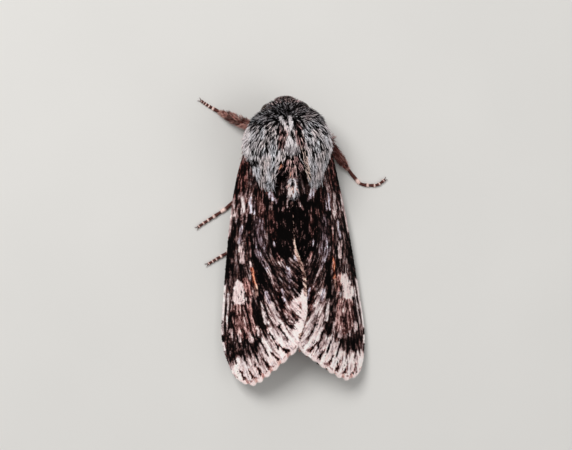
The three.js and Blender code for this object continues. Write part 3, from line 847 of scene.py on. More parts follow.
class MothSkinSettings(bpy.types.PropertyGroup):
    voxel: length_setting("Skin grain", "Size of the cells that fuse the skin's parts into one", 0.1)
    leg_colour: colour_setting("Legs", "Reddish-brown hair of the legs", (118, 68, 62))
    leg_tips: colour_setting("Leg hair tips", "Pale ends of the legs' hair", (206, 160, 148))
    foot_colour: colour_setting("Feet", "Scales of the feet between the pale rings", (84, 46, 40))
    band_colour: colour_setting("Foot bands", "Pale rings at the joints of the feet", (240, 208, 198))
    eye_colour: colour_setting("Eyes", "Lighter patches of the dark eyes", (66, 46, 34))


class MothCoatSettings(bpy.types.PropertyGroup):
    hair_width: length_setting("Hair width", "Width of a hair of the thorax at its widest", 0.068)
    hair_length: length_setting("Hair length", "Length of the dense coat's hair over the wing roots", 1.3)
    hair_count: count_setting("Hairs", "Dense hairs on each half of the thorax", 15000)
    strand_width: length_setting("Strand width", "Width of a strand over the dense coat", 0.1)
    strand_length: length_setting("Strand length", "Length of the strands over the wing roots", 1.15)
    strand_count: count_setting("Strands", "Rough number of strands on each half of it", 2600)


class MothWingSettings(bpy.types.PropertyGroup):
    scale_length: length_setting("Scale length", "Length of a scale of the forewing", 0.24)
    scale_width: length_setting("Scale width", "Width of a scale of the forewing", 0.115)
    row_step: length_setting("Row step", "Distance between rows of scales", 0.1)
    scale_step: length_setting("Scale step", "Distance between the scales of a row", 0.066)
    membrane: length_setting("Membrane", "Thickness of a wing's membrane", 0.12)


class MothStageSettings(bpy.types.PropertyGroup):
    floor_colour: colour_setting("Floor", "Pale floor under the moth", (221, 219, 215))
    field: length_setting("Field", "Width of the view at the moth's back", 59.6)
    lens: number_setting("Lens", "Focal length in millimetres", 160)
    key: number_setting("Key light", "Power of the large soft light", 0.42)
    sky: number_setting("Sky", "Strength of the even light all round", 0.36)


SETTINGS = {
    "moth_skin": MothSkinSettings,
    "moth_coat": MothCoatSettings,
    "moth_wings": MothWingSettings,
    "moth_stage": MothStageSettings,
}

# ---- Body ----

COAT_DEPTH = 0.55  # of the mantle of skin under the coat's surface

# Rounded parts of the body: centre and half sizes, in the moth's measure.
BODY_PARTS = {
    "trunk": ((0, 9.3, 4.6), (3.6, 3.1, 3.0)),
    "crest": ((0, 5.6, 7.1), (0.6, 1.15, 0.5)),
    "head": ((0, 12.9, 3.95), (1.75, 1.6, 1.7)),
    "face": ((0, 14.05, 3.7), (1.05, 0.6, 1.15)),
}

# Hip, knee and ankle of each leg, the way its foot lies, as in the solids, and how shaggy it is.
LEGS = {
    "foreleg_left": (
        [(-1.3, 11.3, 2.1), (-3.6, 12.1, 1.8), (-6.5, 13.65, 0.6)],
        [(-7.2, 14.1), (-7.8, 14.5), (-8.4, 14.95)], 1.35,
    ),
    "foreleg_right": (
        [(1.3, 11.2, 2.1), (2.6, 11.7, 1.3), (2.15, 13.1, 0.62)],
        [(1.85, 13.75), (1.35, 14.25), (0.6, 14.5)], 1,
    ),
    "midleg_left": (
        [(-1.7, 9.1, 2), (-3.1, 7.2, 1.35), (-5.3, 4.5, 0.55)],
        [(-6.1, 3.8), (-6.5, 3.5), (-8.9, 2.1), (-9.35, 1.8)], 1,
    ),
    "midleg_right": (
        [(1.7, 9.1, 2), (4.4, 10.1, 1.75), (6.6, 7.15, 0.6)],
        [(7.3, 6.25), (8, 5.5), (9.1, 5.3), (9.8, 5.35), (10.5, 5.8)], 1.6,
    ),
    "hindleg_left": (
        [(-1.5, 7.4, 1.8), (-3.1, 3.6, 1.85), (-5.1, -0.3, 0.55)],
        [(-5.9, -0.75), (-6.6, -1.1), (-8.5, -2.1)], 1,
    ),
    "hindleg_right": (
        [(1.5, 7.4, 1.8), (3.1, 3.6, 1.85), (4.6, -0.8, 0.55)],
        [(4.85, -1.7), (5.05, -3), (5.2, -4.6)], 1,
    ),
}
LEG_RADII = {"hip": 0.4, "femur": 0.33, "knee": 0.22, "tibia": 0.25, "ankle": 0.17}
EYE_CENTRE, EYE_RADIUS = (1.7, 13.4, 3.65), 0.83
PALP_ROUTE, PALP_RADII = [(0.5, 13.6, 1.75), (0.5, 14.3, 1.85), (0.4, 14.65, 2.45)], (0.24, 0.14)
ABDOMEN_FRONT, ABDOMEN_TIP = 7.2, -9.6
ABDOMEN_SEGMENTS = 9
ABDOMEN_RADIUS, ABDOMEN_WIDEST = 1.72, 0.35  # and the share of its length at which it has it
ABDOMEN_TAPERS = (0.56, 0.65)  # shares of its length over which it would taper away, before and behind
ABDOMEN_HEIGHTS = (2.95, 2.4)  # of its axis at front and tip
MANTLE_FRONT, MANTLE_BACK, MANTLE_NOTCH = 13.2, 6.1, 1.2  # the notch shortens it between the skirts
MANTLE_CUTS = 40


def tube(name, points, radii, sides=16):
    """A closed tube along points, as a mesh."""
    data = bpy.data.curves.new(name, "CURVE")
    data.dimensions = "3D"
    data.bevel_depth = MM
    data.bevel_resolution = sides // 4
    data.use_fill_caps = True
    spline = data.splines.new("POLY")
    spline.points.add(len(points) - 1)
    for point, place, radius in zip(spline.points, to_frame(points), radii):
        point.co = (*place, 1)
        point.radius = radius
    piece = bpy.data.objects.new(name, data)
    bpy.context.collection.objects.link(piece)
    activate(piece)
    bpy.ops.object.convert(target="MESH")
    return bpy.context.object


def rounded_part(name, centre, half_sizes):
    deselect()
    bpy.ops.mesh.primitive_uv_sphere_add(
        segments=48, ring_count=24, radius=MM, location=to_frame(centre), scale=half_sizes
    )
    bpy.ops.object.transform_apply(location=True, rotation=True, scale=True)
    bpy.context.object.name = name
    return bpy.context.object


def mantle():
    """The thorax and its tegulae as one dome, which lies on the wings behind their roots."""
    deselect()
    bpy.ops.mesh.primitive_cube_add(size=1)
    edit(bpy.ops.mesh.subdivide, number_cuts=MANTLE_CUTS)
    piece = bpy.context.object
    across, along, height = (vertices_of(piece.data) + 0.5).T
    share = 2 * across - 1
    y = mix(MANTLE_BACK + MANTLE_NOTCH, MANTLE_FRONT, along)
    for _ in range(4):
        out = np.abs(share) * coat_width(y, COAT_DEPTH) * 0.99
        back = MANTLE_BACK + MANTLE_NOTCH * smooth(np.abs(out - SKIRT_TIP), 0.5, 1.7)
        y = mix(back, MANTLE_FRONT, along)
    on_wing = roof(out, y) + 0.06
    bottom = mix(on_wing, COAT_WAIST - 0.7, smooth(y, WING_ROOT + 0.1, WING_ROOT + 0.9))
    top = np.maximum(coat_top(out, y, COAT_DEPTH), bottom + 0.3)
    places = rows(np.sign(share) * out, y, mix(bottom, top, height))
    move_vertices(piece.data, to_frame(places))
    return piece


def spline_points(points, count):
    """Points at even steps along a smooth curve through the given ones."""
    points = np.asarray(points, dtype=float)
    padded = np.vstack([2 * points[0] - points[1], points, 2 * points[-1] - points[-2]])
    found = []
    for i in range(1, len(padded) - 2):
        before, start, end, after = padded[i - 1 : i + 3]
        for t in np.linspace(0, 1, 24, endpoint=False):
            square = 2 * before - 5 * start + 4 * end - after
            cube = 3 * start - before - 3 * end + after
            found.append(0.5 * (2 * start + (end - before) * t + square * t**2 + cube * t**3))
    found = np.array([*found, points[-1]])
    run = np.concatenate([[0], np.cumsum(np.linalg.norm(np.diff(found, axis=0), axis=1))])
    places = np.linspace(0, run[-1], count)
    return np.stack([np.interp(places, run, found[:, i]) for i in range(3)], axis=-1)


def leg_parts():
    """Upper legs as tubes that run from inside the thorax to the ankles."""
    parts = []
    for name, (joints, _, _) in LEGS.items():
        hip, knee, ankle = (np.array(joint, dtype=float) for joint in joints)
        places = [hip + (hip - knee) * 0.1 + [0, 0, 0.9]]
        radii = [LEG_RADII["hip"]]
        for start, end, first, middle, last in (
            (hip, knee, "hip", "femur", "knee"),
            (knee, ankle, "knee", "tibia", "ankle"),
        ):
            for share in np.linspace(0, 1, 9):
                base = mix(LEG_RADII[first], LEG_RADII[last], share)
                places.append(mix(start, end, share))
                radii.append(mix(base, LEG_RADII[middle] * 1.08, 0.8 * math.sin(math.pi * share)))
        parts.append(tube(name, np.array(places), radii))
    return parts


def palp_parts():
    parts = []
    for side in SIDES.values():
        places = spline_points(mirrored(PALP_ROUTE, side), 17)
        parts.append(tube("palp", places, np.linspace(*PALP_RADII, 17)))
    return parts


def abdomen_part():
    """The abdomen, each of its segments a little narrower than the rim of the one before."""
    share = np.linspace(0, 1, 64)
    reach = np.where(share < ABDOMEN_WIDEST, *ABDOMEN_TAPERS)
    body = np.sqrt(np.maximum(0, 1 - ((share - ABDOMEN_WIDEST) / reach) ** 2))
    step = 0.06 * (1 - (share * ABDOMEN_SEGMENTS) % 1)
    radii = np.maximum(0.2, ABDOMEN_RADIUS * body - step)
    places = rows(0, mix(ABDOMEN_FRONT, ABDOMEN_TIP, share), mix(*ABDOMEN_HEIGHTS, share))
    return tube("abdomen", places, radii, 28)


class MOTH_OT_skin(bpy.types.Operator):
    """Fuses head, thorax, abdomen and upper legs into one skin under the coat"""

    bl_idname = "moth.skin"
    bl_label = "Skin"

    def execute(self, context):
        settings = context.scene.moth_skin
        parts = [rounded_part(name, *sizes) for name, sizes in BODY_PARTS.items()]
        parts += [mantle(), abdomen_part(), *leg_parts(), *palp_parts()]
        activate(*parts)
        bpy.ops.object.join()
        skin = context.object
        fuse = skin.modifiers.new("Fuse", "REMESH")
        fuse.mode = "VOXEL"
        fuse.voxel_size = settings.voxel
        soften = skin.modifiers.new("Soften", "SMOOTH")
        soften.factor = 0.5
        soften.iterations = 4
        bpy.ops.object.modifier_apply(modifier="Fuse")
        bpy.ops.object.modifier_apply(modifier="Soften")
        bpy.ops.object.shade_smooth()
        paint(skin.data, self.colours(from_frame(vertices_of(skin.data)), settings))
        nodes = ["head", "collar", "thorax", "crest", "tegula_left", "tegula_right"]
        nodes += ["abdomen_front", "abdomen_middle", "abdomen_tip", "palp_left", "palp_right"]
        nodes += [f"{leg}_{piece}" for leg in LEGS for piece in ("femur", "tibia")]
        finish(skin, "skin", "skin", nodes)
        return {"FINISHED"}

    def colours(self, points, settings):
        grain = noise(points[:, 0] / 0.15, points[:, 1] / 0.4, 21)
        upper = undercoat(points[:, 0], points[:, 1], grain) * 0.6
        lower = body_colour(points, grain) * 0.5
        colour = mix(lower, upper, smooth(points[:, 2], 3.4, 4.4)[:, None])
        leg = mix(0.35, 0.8, grain)[:, None] * setting_colour(settings.leg_colour)
        return mix(colour, leg, on_leg(points)[:, None].astype(float))


def leg_place(points):
    """For each point: its nearest leg, its share of the way from hip to ankle, and its distance from it."""
    best = np.full(len(points), np.inf)
    leg_index = np.zeros(len(points), dtype=int)
    leg_share = np.zeros(len(points))
    for index, (joints, _, _) in enumerate(LEGS.values()):
        for part in range(2):
            start, end = (np.array(joints[part + i], dtype=float) for i in range(2))
            run = end - start
            share = np.clip((points - start) @ run / (run @ run), 0, 1)
            distance = np.linalg.norm(points - start - share[:, None] * run, axis=1)
            nearer = distance < best
            best = np.where(nearer, distance, best)
            leg_index = np.where(nearer, index, leg_index)
            leg_share = np.where(nearer, (part + share) / 2, leg_share)
    return leg_index, leg_share, best


def on_leg(points):
    _, share, distance = leg_place(points)
    return (distance < 0.62) & (share > 0.08) & (points[:, 2] < 2.6)


def body_colour(points, grain):
    """Colours of breast and abdomen: greyish brown, with paler rims to the abdomen's segments."""
    ring = ((ABDOMEN_FRONT - points[:, 1]) / (ABDOMEN_FRONT - ABDOMEN_TIP) * ABDOMEN_SEGMENTS) % 1
    rims = smooth(ring, 0.75, 0.95) * (points[:, 1] < 6)
    return toned(grained(0.38 + 0.2 * rims, grain), HAIR_COLOURS, REDDISH)


# ---- Coat ----

# Hairs of the pieces that have no count among the settings.
HAIR_COUNTS = {"crest": 2600, "head": 15000, "breast": 9000, "abdomen": 10000, "legs": 11000}
FRINGE_HAIRS, INNER_FRINGE_HAIRS = 5500, 3000


class Roots:
    """Places picked at random on the skin, with their normals, in the moth's measure."""

    def __init__(self, mesh):
        mesh.calc_loop_triangles()
        corners = read(mesh.loop_triangles, "vertices", np.int32)
        self.corners = from_frame(vertices_of(mesh))[corners]
        self.normals = read(mesh.vertex_normals, "vector")[corners]
        edges = self.corners[:, 1:] - self.corners[:, :1]
        self.area = np.linalg.norm(np.cross(edges[:, 0], edges[:, 1]), axis=1) / 2
        self.centre = self.corners.mean(axis=1)
        self.leg = on_leg(self.centre)

    def pick(self, rng, count, weight):
        share = np.cumsum(self.area * weight)
        chosen = np.minimum(np.searchsorted(share, rng.random(count) * share[-1]), len(share) - 1)
        a, b = rng.random((2, count))
        flip = a + b > 1
        a, b = np.where(flip, 1 - a, a), np.where(flip, 1 - b, b)
        weights = np.stack([1 - a - b, a, b], axis=-1)[..., None]
        roots = (self.corners[chosen] * weights).sum(axis=1)
        return roots, unit((self.normals[chosen] * weights).sum(axis=1))


def body_unwrap(points):
    """Places on the bake map: round the body across, and along it upwards."""
    turn = np.arctan2(points[:, 0], points[:, 2] - 4.2) / (2 * math.pi) + 0.5
    return chart(turn, (points[:, 1] + 11) / 27)


def leg_unwrap(points):
    """Places on the bake map: a strip for each leg, round it across, and from hip to ankle upwards."""
    index, share, _ = leg_place(points)
    turn = np.arctan2(points[:, 2] - 1.2, points[:, 0] + points[:, 1]) / (2 * math.pi) + 0.5
    return np.stack([(index + 0.1 + 0.8 * turn) / len(LEGS), 0.02 + 0.95 * share], axis=-1)


def lay_coat(name, slot, roots, heading, normals, sizes, colours, unwrap=body_unwrap):
    """A finished piece of coat. sizes are the hairs' length, width and bend, and colours those at their
    roots and tips. A darker root is partly the hair's own colour and partly painted shade deep in the coat."""
    piece = hairs("coat_" + name, roots, heading, normals, *sizes, *colours, unwrap(roots))
    finish(piece, piece.name, "hair")


def risen(flow, normals, lift):
    """Directions along flow that rise from the surface by lift radians."""
    along = unit(flow - normals * (flow * normals).sum(axis=1, keepdims=True))
    (lift,) = by_shape(len(normals), lift)
    return unit(along * np.cos(lift) + normals * np.sin(lift))


def clear_of_eyes(roots, flow):
    """Turns the hair that grows beside an eye away from it."""
    for side in SIDES.values():
        away = roots - mirrored(EYE_CENTRE, side)
        distance = np.linalg.norm(away, axis=1, keepdims=True)
        near = 1 - smooth(distance, EYE_RADIUS + 0.05, EYE_RADIUS + 0.5)
        flow = mix(flow, unit(away), 0.9 * near)
    return flow


class MOTH_OT_thorax_coat(bpy.types.Operator):
    """Lays the long silvery hair over the hood, the tegulae and the crest"""

    bl_idname = "moth.thorax_coat"
    bl_label = "Thorax coat"

    def execute(self, context):
        settings = context.scene.moth_coat
        picker = Roots(bpy.data.objects["skin"].data)
        for name, side in SIDES.items():
            self.dense_coat(name, side, picker, settings)
            self.strands(name, side, picker, settings)
        self.crest(picker)
        return {"FINISHED"}

    def places(self, side, picker, rng, count):
        x, y, z = picker.centre.T
        crest = (np.abs(x) < 1.2) & (y < 7.0)
        weight = (x * side > -0.05) & (y > 5.0) & (y < 13.9) & (z > 3.3) & ~picker.leg & ~crest
        return picker.pick(rng, count, weight * (picker.normals[:, 0, 2] > -0.3))

    def flow(self, roots, sway):
        x_way, y_way = coat_heading(roots[:, 0], roots[:, 1])
        droop = -0.35 * smooth(np.abs(roots[:, 0]), 2.5, 4)
        return unit(rows(x_way, y_way, droop) + sway)

    def zones(self, roots):
        """Shares of a root in the front of the hood, and in the brows at its sides."""
        front = smooth(roots[:, 1], 11.9, 13.0)
        return front, front * smooth(np.abs(roots[:, 0]), 0.8, 1.5)

    def dense_coat(self, name, side, picker, settings):
        rng = np.random.default_rng(40 + side)
        roots, normals = self.places(side, picker, rng, settings.hair_count)
        grain, second = rng.random((2, len(roots)))
        front, brow = self.zones(roots)
        lift = mix(mix(0.28, 0.9, front), 0.65, brow) + rng.normal(0, 0.07, len(roots))
        heading = risen(self.flow(roots, rng.normal(0, 0.12, roots.shape)), normals, lift)
        length = settings.hair_length / MM * mix(mix(1, 0.5, front), 0.8, brow) * (0.8 + 0.4 * grain)
        length = length * mix(0.7, 1, smooth(roots[:, 2], 3.5, 5))
        length = length * mix(0.75, 1, smooth(roots[:, 1], 6.4, 7.4))
        x, y, _ = (roots + heading * 0.85 * length[:, None]).T
        tip = undercoat(x, y, second)
        sizes = length, settings.hair_width / MM * (0.75 + 0.5 * grain), 0.32
        # Darker roots: partly the hairs' own colour, partly painted shade deep in the coat.
        lay_coat("thorax_" + name, "fur", roots, heading, normals, sizes, (tip * 0.5, tip))

    def strands(self, name, side, picker, settings):
        """Pale strands, closest together in the white marks and fewest in the dark ones."""
        rng = np.random.default_rng(42 + side)
        roots, normals = self.places(side, picker, rng, 3 * settings.strand_count)
        grain, second, chance = rng.random((3, len(roots)))
        front, brow = self.zones(roots)
        skirt = 1 - smooth(roots[:, 1], 6.6, 7.8)
        flank = 1 - smooth(normals[:, 2], 0.15, 0.5)
        lift = mix(mix(mix(0.5, 1.1, front), 0.8, brow), 0.65, flank) + rng.normal(0, 0.12, len(roots))
        heading = risen(self.flow(roots, rng.normal(0, 0.14, roots.shape)), normals, lift)
        length = settings.strand_length / MM * mix(mix(1, 0.6, front), 0.85, brow) * mix(1, 1.3, skirt)
        hood_end = window(roots[:, 1], 8.6, 9, 9.6, 10.6) * (1 - smooth(np.abs(roots[:, 0]), 0.6, 1.2))
        length = length * mix(1, 0.75, flank) * mix(1, 0.6, hood_end) * (0.7 + 0.5 * grain)
        x, y, _ = (roots + heading * 0.7 * length[:, None]).T
        tone, _ = coat_pattern(x, y)
        white = smooth(tone, 0.7, 0.9)
        share = np.interp(tone, [0.05, 0.2, 0.5, 0.8], [0.15, 0.3, 0.36, 1]) * mix(1, 1.3, front)
        kept = chance < share * mix(mix(0, 2.1, locks(x, y)), 1, white)
        tip = overcoat(x, y, second)[kept]
        width = settings.strand_width / MM * (0.75 + 0.5 * rng.random(len(roots))) * mix(1, 1.4, white)
        sizes = length[kept], width[kept], 0.35
        places = (roots[kept], heading[kept], normals[kept])
        # Darker roots: partly the strands' own colour, partly painted shade deep in the coat.
        lay_coat("strands_" + name, "fur", *places, sizes, (tip * 0.7, tip))

    def crest(self, picker):
        rng = np.random.default_rng(45)
        x, y, z = picker.centre.T
        weight = (np.abs(x) < 1.2) & (y < 7.2) & (y > 4.0) & (z > 6.7)
        roots, normals = picker.pick(rng, HAIR_COUNTS["crest"], weight)
        grain, second = rng.random((2, len(roots)))
        flow = rows(0.9 * roots[:, 0], -0.8, 0)
        flow = unit(flow + rng.normal(0, 0.25, roots.shape))
        heading = risen(flow, normals, 0.4 + rng.normal(0, 0.2, len(roots)))
        length = 0.35 + 0.45 * grain
        x, y, _ = (roots + heading * 0.85 * length[:, None]).T
        tone, tint = coat_pattern(x, y)
        tip = toned(grained(tone, second), HAIR_COLOURS, tint)
        # Darker roots: partly the hairs' own colour, partly painted shade deep in the coat.
        lay_coat("crest", "fur", roots, heading, normals, (length, 0.1, 0.15), (tip * 0.85, tip))


class MOTH_OT_body_coat(bpy.types.Operator):
    """Lays shorter hair over head, breast, abdomen and legs"""

    bl_idname = "moth.body_coat"
    bl_label = "Body coat"

    def execute(self, context):
        picker = Roots(bpy.data.objects["skin"].data)
        self.head(picker)
        self.trunk("breast", 66, picker, -0.6, (0.45, 0.75, 0.5, 0.08, 0.25))
        self.trunk("abdomen", 67, picker, 0, (0.28, 0.5, 0.3, 0.075, 0.3))
        self.legs(picker, context.scene.moth_skin)
        return {"FINISHED"}

    def brush(self, name, slot, rng, roots, normals, flow, lift, length, width, colours, unwrap=body_unwrap):
        """Hair along flow, a little unruly."""
        flow = unit(flow + rng.normal(0, 0.14, roots.shape))
        heading = risen(flow, normals, lift + rng.normal(0, 0.1, len(roots)))
        lay_coat(name, slot, roots, heading, normals, (length, width, 0.25), colours, unwrap)

    def head(self, picker):
        rng = np.random.default_rng(64)
        weight = (picker.centre[:, 1] > 12.3) & (picker.centre[:, 2] < 6.6) & ~picker.leg
        roots, normals = picker.pick(rng, HAIR_COUNTS["head"], weight)
        grain, second = rng.random((2, len(roots)))
        x, y, z = roots.T
        flow = rows(0.35 * x, 0.5, 0.35 * (z - 3.4))
        palp = (z < 2.9) & (y > 13.5) & (np.abs(x) < 0.9)
        flow = np.where(palp[:, None], np.array([0, 0.7, 0.5]), flow)
        flow = clear_of_eyes(roots, unit(flow))
        brow = smooth(z, 4.3, 4.7) * smooth(np.abs(x), 0.6, 1.2)
        sideways = unit(rows(np.sign(x), 0.45, -0.1))
        flow = unit(mix(flow, sideways, brow[:, None]))
        length = (0.32 + 0.3 * grain) * mix(1, 1.5, smooth(z, 3.8, 5)) * np.where(palp, 0.55, 1)
        length = length * mix(1, 1.3, brow)
        tip = undercoat(x, y + 0.4 * grain, second)
        tip = np.where((second > 0.8)[:, None], overcoat(x, y, grain), tip)
        face = toned(grained(0.4, second), HAIR_COLOURS, REDDISH)
        tip = mix(face, tip, smooth(z, 3.2, 4.6)[:, None])
        # Darker roots: partly the hairs' own colour, partly painted shade deep in the coat.
        self.brush("head", "dark_fur", rng, roots, normals, flow, 0.75, length, 0.055, (tip * 0.25, tip))

    def trunk(self, name, seed, picker, droop, sizes):
        """Hair that lies back along breast or abdomen. sizes are its lift, least length, what that gains at
        random, width, and shade at the root: partly the hair's own colour, partly painted shade in the coat."""
        lift, least, more, width, shade = sizes
        rng = np.random.default_rng(seed)
        _, y, z = picker.centre.T
        breast = (y > 7.0) & (y <= 12.3) & (z < 4.2)
        weight = (breast if name == "breast" else (y <= 7.0) & (z < 5.2)) & ~picker.leg
        roots, normals = picker.pick(rng, HAIR_COUNTS[name], weight)
        grain, second = rng.random((2, len(roots)))
        flow = np.broadcast_to([0, -1, droop], roots.shape)
        tip = body_colour(roots, second)
        length = least + more * grain
        self.brush(name, "dark_fur", rng, roots, normals, flow, lift, length, width, (tip * shade, tip))

    def legs(self, picker, settings):
        rng = np.random.default_rng(65)
        roots, normals = picker.pick(rng, HAIR_COUNTS["legs"], picker.leg)
        grain, second = rng.random((2, len(roots)))
        index, share, _ = leg_place(roots)
        joints = np.array([joints for joints, _, _ in LEGS.values()], dtype=float)
        part = (share >= 0.5).astype(int)
        flow = unit(joints[index, part + 1] - joints[index, part])
        shaggy = np.array([leg[2] for leg in LEGS.values()])[index]
        fore = np.array([name.startswith("foreleg") for name in LEGS])[index]
        length = (0.28 + 0.3 * grain) * mix(shaggy**2, 0.8, smooth(share, 0.66, 1))
        colour, pale = setting_colour(settings.leg_colour), setting_colour(settings.leg_tips)
        share_pale = smooth(second, np.where(fore, 0.3, 0.68), 0.9) * np.where(fore, 0.9, 0.7)
        tip = mix(colour * (0.08 + 1.8 * grain[:, None] ** 2.4), pale, share_pale[:, None])
        mottle = smooth(noise(roots[:, 0] / 0.2, roots[:, 1] / 0.2, 68), 0.25, 0.75)
        tip = mix(tip * mix(0.3, 1.6, mottle)[:, None], pale, smooth(share, 0.93, 0.96)[:, None])
        lift = np.where(shaggy > 1, mix(0.45, 0.8, fore), 0.4)
        # Darker roots: partly the hairs' own colour, partly painted shade deep in the coat.
        colours = (colour * 0.3 + 0 * tip, tip)
        self.brush("legs", "leg", rng, roots, normals, flow, lift, length, 0.07, colours, leg_unwrap)


# ---- Head ----


def nearest_of(points, places):
    """For each point, which of the places along a tube is nearest."""
    return np.argmin(np.linalg.norm(points[:, None] - places[None], axis=2), axis=1)


FACET_SCALE, EYE_PATCH_SCALE = 22000, 1500  # cells of its textures to a metre


class MOTH_OT_eyes(bpy.types.Operator):
    """Sets the two glossy, finely faceted eyes into the head"""

    bl_idname = "moth.eyes"
    bl_label = "Eyes"

    def execute(self, context):
        for name, side in SIDES.items():
            deselect()
            centre = mirrored(EYE_CENTRE, side)
            size = EYE_RADIUS * MM
            bpy.ops.mesh.primitive_ico_sphere_add(subdivisions=5, radius=size, location=to_frame(centre))
            bpy.ops.object.transform_apply(location=True)
            eye = context.object
            bpy.ops.object.shade_smooth()
            eye.data.materials.append(self.faceted(f"moth_eye_{name}", context.scene.moth_skin))
            finish(eye, f"eyeball_{name}", nodes=[f"eye_{name}"])
        return {"FINISHED"}

    def faceted(self, name, settings):
        kinds = {
            "shader": ("", {}, {"Roughness": 0.26, "Specular IOR Level": 0.22, "Coat Weight": 0.1}),
            "place": ("TexCoord", {}, {}),
            "facets": ("TexVoronoi", {}, {"Scale": FACET_SCALE}),
            "patches": ("TexNoise", {}, {"Scale": EYE_PATCH_SCALE}),
            "colours": ("ValToRGB", {}, {}),
            "relief": ("Bump", {}, {"Strength": 0.35, "Distance": 0.02 * MM}),
        }
        wires = [
            ("place", "Object", "facets", "Vector"),
            ("place", "Object", "patches", "Vector"),
            ("patches", "Fac", "colours", "Fac"),
            ("colours", "Color", "shader", "Base Color"),
            ("facets", "Distance", "relief", "Height"),
            ("relief", "Normal", "shader", "Normal"),
        ]
        material, nodes = node_material(name, kinds, wires)
        light = setting_colour(settings.eye_colour)
        set_ramp(nodes["colours"], (0.4, light * 0.15), (0.65, light))
        return material


ANTENNA_ROUTE = [
    (1.1, 13.95, 5.2),
    (2.2, 13.4, 4.95),
    (2.85, 12.9, 4.15),
    (3.25, 12.2, 3.4),
    (4, 11, 3),
    (4.4, 9.4, 2.75),
    (4.45, 7.8, 2.1),
    (4.5, 6, 1.5),
]
ANTENNA_RINGS = 46


class MOTH_OT_antennae(bpy.types.Operator):
    """Makes the ringed antennae, swept back under the wings"""

    bl_idname = "moth.antennae"
    bl_label = "Antennae"

    def execute(self, context):
        for name, side in SIDES.items():
            route = mirrored(ANTENNA_ROUTE, side)
            route[0] -= [0.15 * side, 0.1, 0.35]
            places = spline_points(route, ANTENNA_RINGS * 6 + 1)
            share = np.linspace(0, 1, len(places))
            beads = np.abs(np.sin(math.pi * ANTENNA_RINGS * share)) ** 0.5
            antenna = tube(f"feeler_{name}", places, mix(0.17, 0.06, share) * (0.72 + 0.28 * beads), 12)
            bpy.ops.object.shade_smooth()
            points = from_frame(vertices_of(antenna.data))
            nearest = nearest_of(points, places)
            ring = (share[nearest] * ANTENNA_RINGS) % 1
            tone = 0.25 + 0.4 * smooth(np.abs(ring - 0.5), 0.2, 0.4) * (points[:, 2] > places[nearest, 2])
            paint(antenna.data, toned(tone, HAIR_COLOURS, TAN))
            finish(antenna, f"feeler_{name}", "skin", [f"antenna_{name}"])
        return {"FINISHED"}


# ---- Feet ----

FOOT_JOINTS = [0, 0.43, 0.63, 0.77, 0.88, 1]  # shares of the foot's length
FOOT_HEIGHT = 0.19  # of the foot's axis above the floor
FOOT_RADII = (0.22, 0.16)
CLAW_RADII = (0.055, 0.012)
CLAW_ROUTE = [(-0.05, 0, 0), (0.12, 0.1, 0.02), (0.26, 0.17, -0.04), (0.32, 0.19, -0.15)]  # ahead, aside, up


class MOTH_OT_feet(bpy.types.Operator):
    """Makes the banded feet with their claws"""

    bl_idname = "moth.feet"
    bl_label = "Feet"

    def execute(self, context):
        settings = context.scene.moth_skin
        dark, pale = setting_colour(settings.foot_colour), setting_colour(settings.band_colour)
        for name, (joints, lying, _) in LEGS.items():
            route = [joints[2], *[(x, y, FOOT_HEIGHT) for x, y in lying]]
            places = spline_points(route, 101)
            share = np.linspace(0, 1, len(places))
            along = np.interp(share, FOOT_JOINTS, range(len(FOOT_JOINTS))) % 1
            radii = mix(*FOOT_RADII, share) * (0.78 + 0.24 * smooth(along, 0, 0.9))
            radii[0] = radii[1]
            foot = tube(f"foot_{name}", places, radii, 20)
            activate(foot, *self.claws(places))
            bpy.ops.object.join()
            bpy.ops.object.shade_smooth()
            points = from_frame(vertices_of(foot.data))
            move_vertices(foot.data, to_frame(above_floor(points)))
            nearest = nearest_of(points, places)
            band = smooth(along[nearest], 0.66, 0.8) * (share[nearest] < 0.99)
            mottle = 0.7 + 0.6 * noise(points[:, 0] / 0.12, points[:, 1] / 0.12, 81)
            paint(foot.data, mix(dark, pale, 0.95 * band[:, None]) * mottle[:, None])
            finish(foot, f"foot_{name}", "skin", [f"{name}_tarsus"])
        return {"FINISHED"}

    def claws(self, places):
        """Two curved claws past the foot's tip."""
        tip = places[-1]
        ahead = unit(tip - places[-4])
        across = unit(np.cross(ahead, [0, 0, 1]))
        made = []
        for side in (-1, 1):
            route = [tip + far * ahead + aside * side * across + [0, 0, up] for far, aside, up in CLAW_ROUTE]
            made.append(tube("claw", spline_points(route, 10), np.linspace(*CLAW_RADII, 10), 8))
        return made


# ---- Wings ----

SCALE_DEPTH = 0.1  # the scales' share of a wing's thickness, on each face
HINDWING_DEPTH = 0.95  # of its upper face under the roof
TUCK = {"left": 0.0, "right": 1.2}  # what the right forewing runs on under the left one
FRINGE = 0.5  # length of the fringe past the membrane
FRINGE_WIDTH = 0.08  # of its hairs
INNER_FRINGE_RUN = (-8.2, 0.3)  # Y along the left wing's inner margin
BARE_FROM, BARE_OUT = 7.8, 3.2  # the coat hides the wing ahead of the one and inside the other
FOREWING_CELLS, HINDWING_CELLS = (90, 150), (60, 100)  # of the membranes' grids, across and along
VEIN_HEIGHT, VEIN_WIDTH = 0.035, 0.1  # its width as a share of the space between two
ROW_RUN, ROW_PROBES = 24.5, 80  # length over which the rows of scales are shared out


def wing_grid(cells):
    """A flat grid, and where on the wing each of its corners lies across and along."""
    deselect()
    bpy.ops.mesh.primitive_grid_add(x_subdivisions=cells[0], y_subdivisions=cells[1], size=1)
    piece = bpy.context.object
    places = vertices_of(piece.data)
    return piece, places[:, 0] + 0.5, 0.5 - places[:, 1]


def vein_relief(across, along):
    """Raised veins that fan out from the root to the outer margin."""
    cell = across * SCALLOPS + 0.5
    ridge = np.exp(-(((cell - np.round(cell)) / VEIN_WIDTH) ** 2))
    return VEIN_HEIGHT * ridge * smooth(along, 0.05, 0.3)


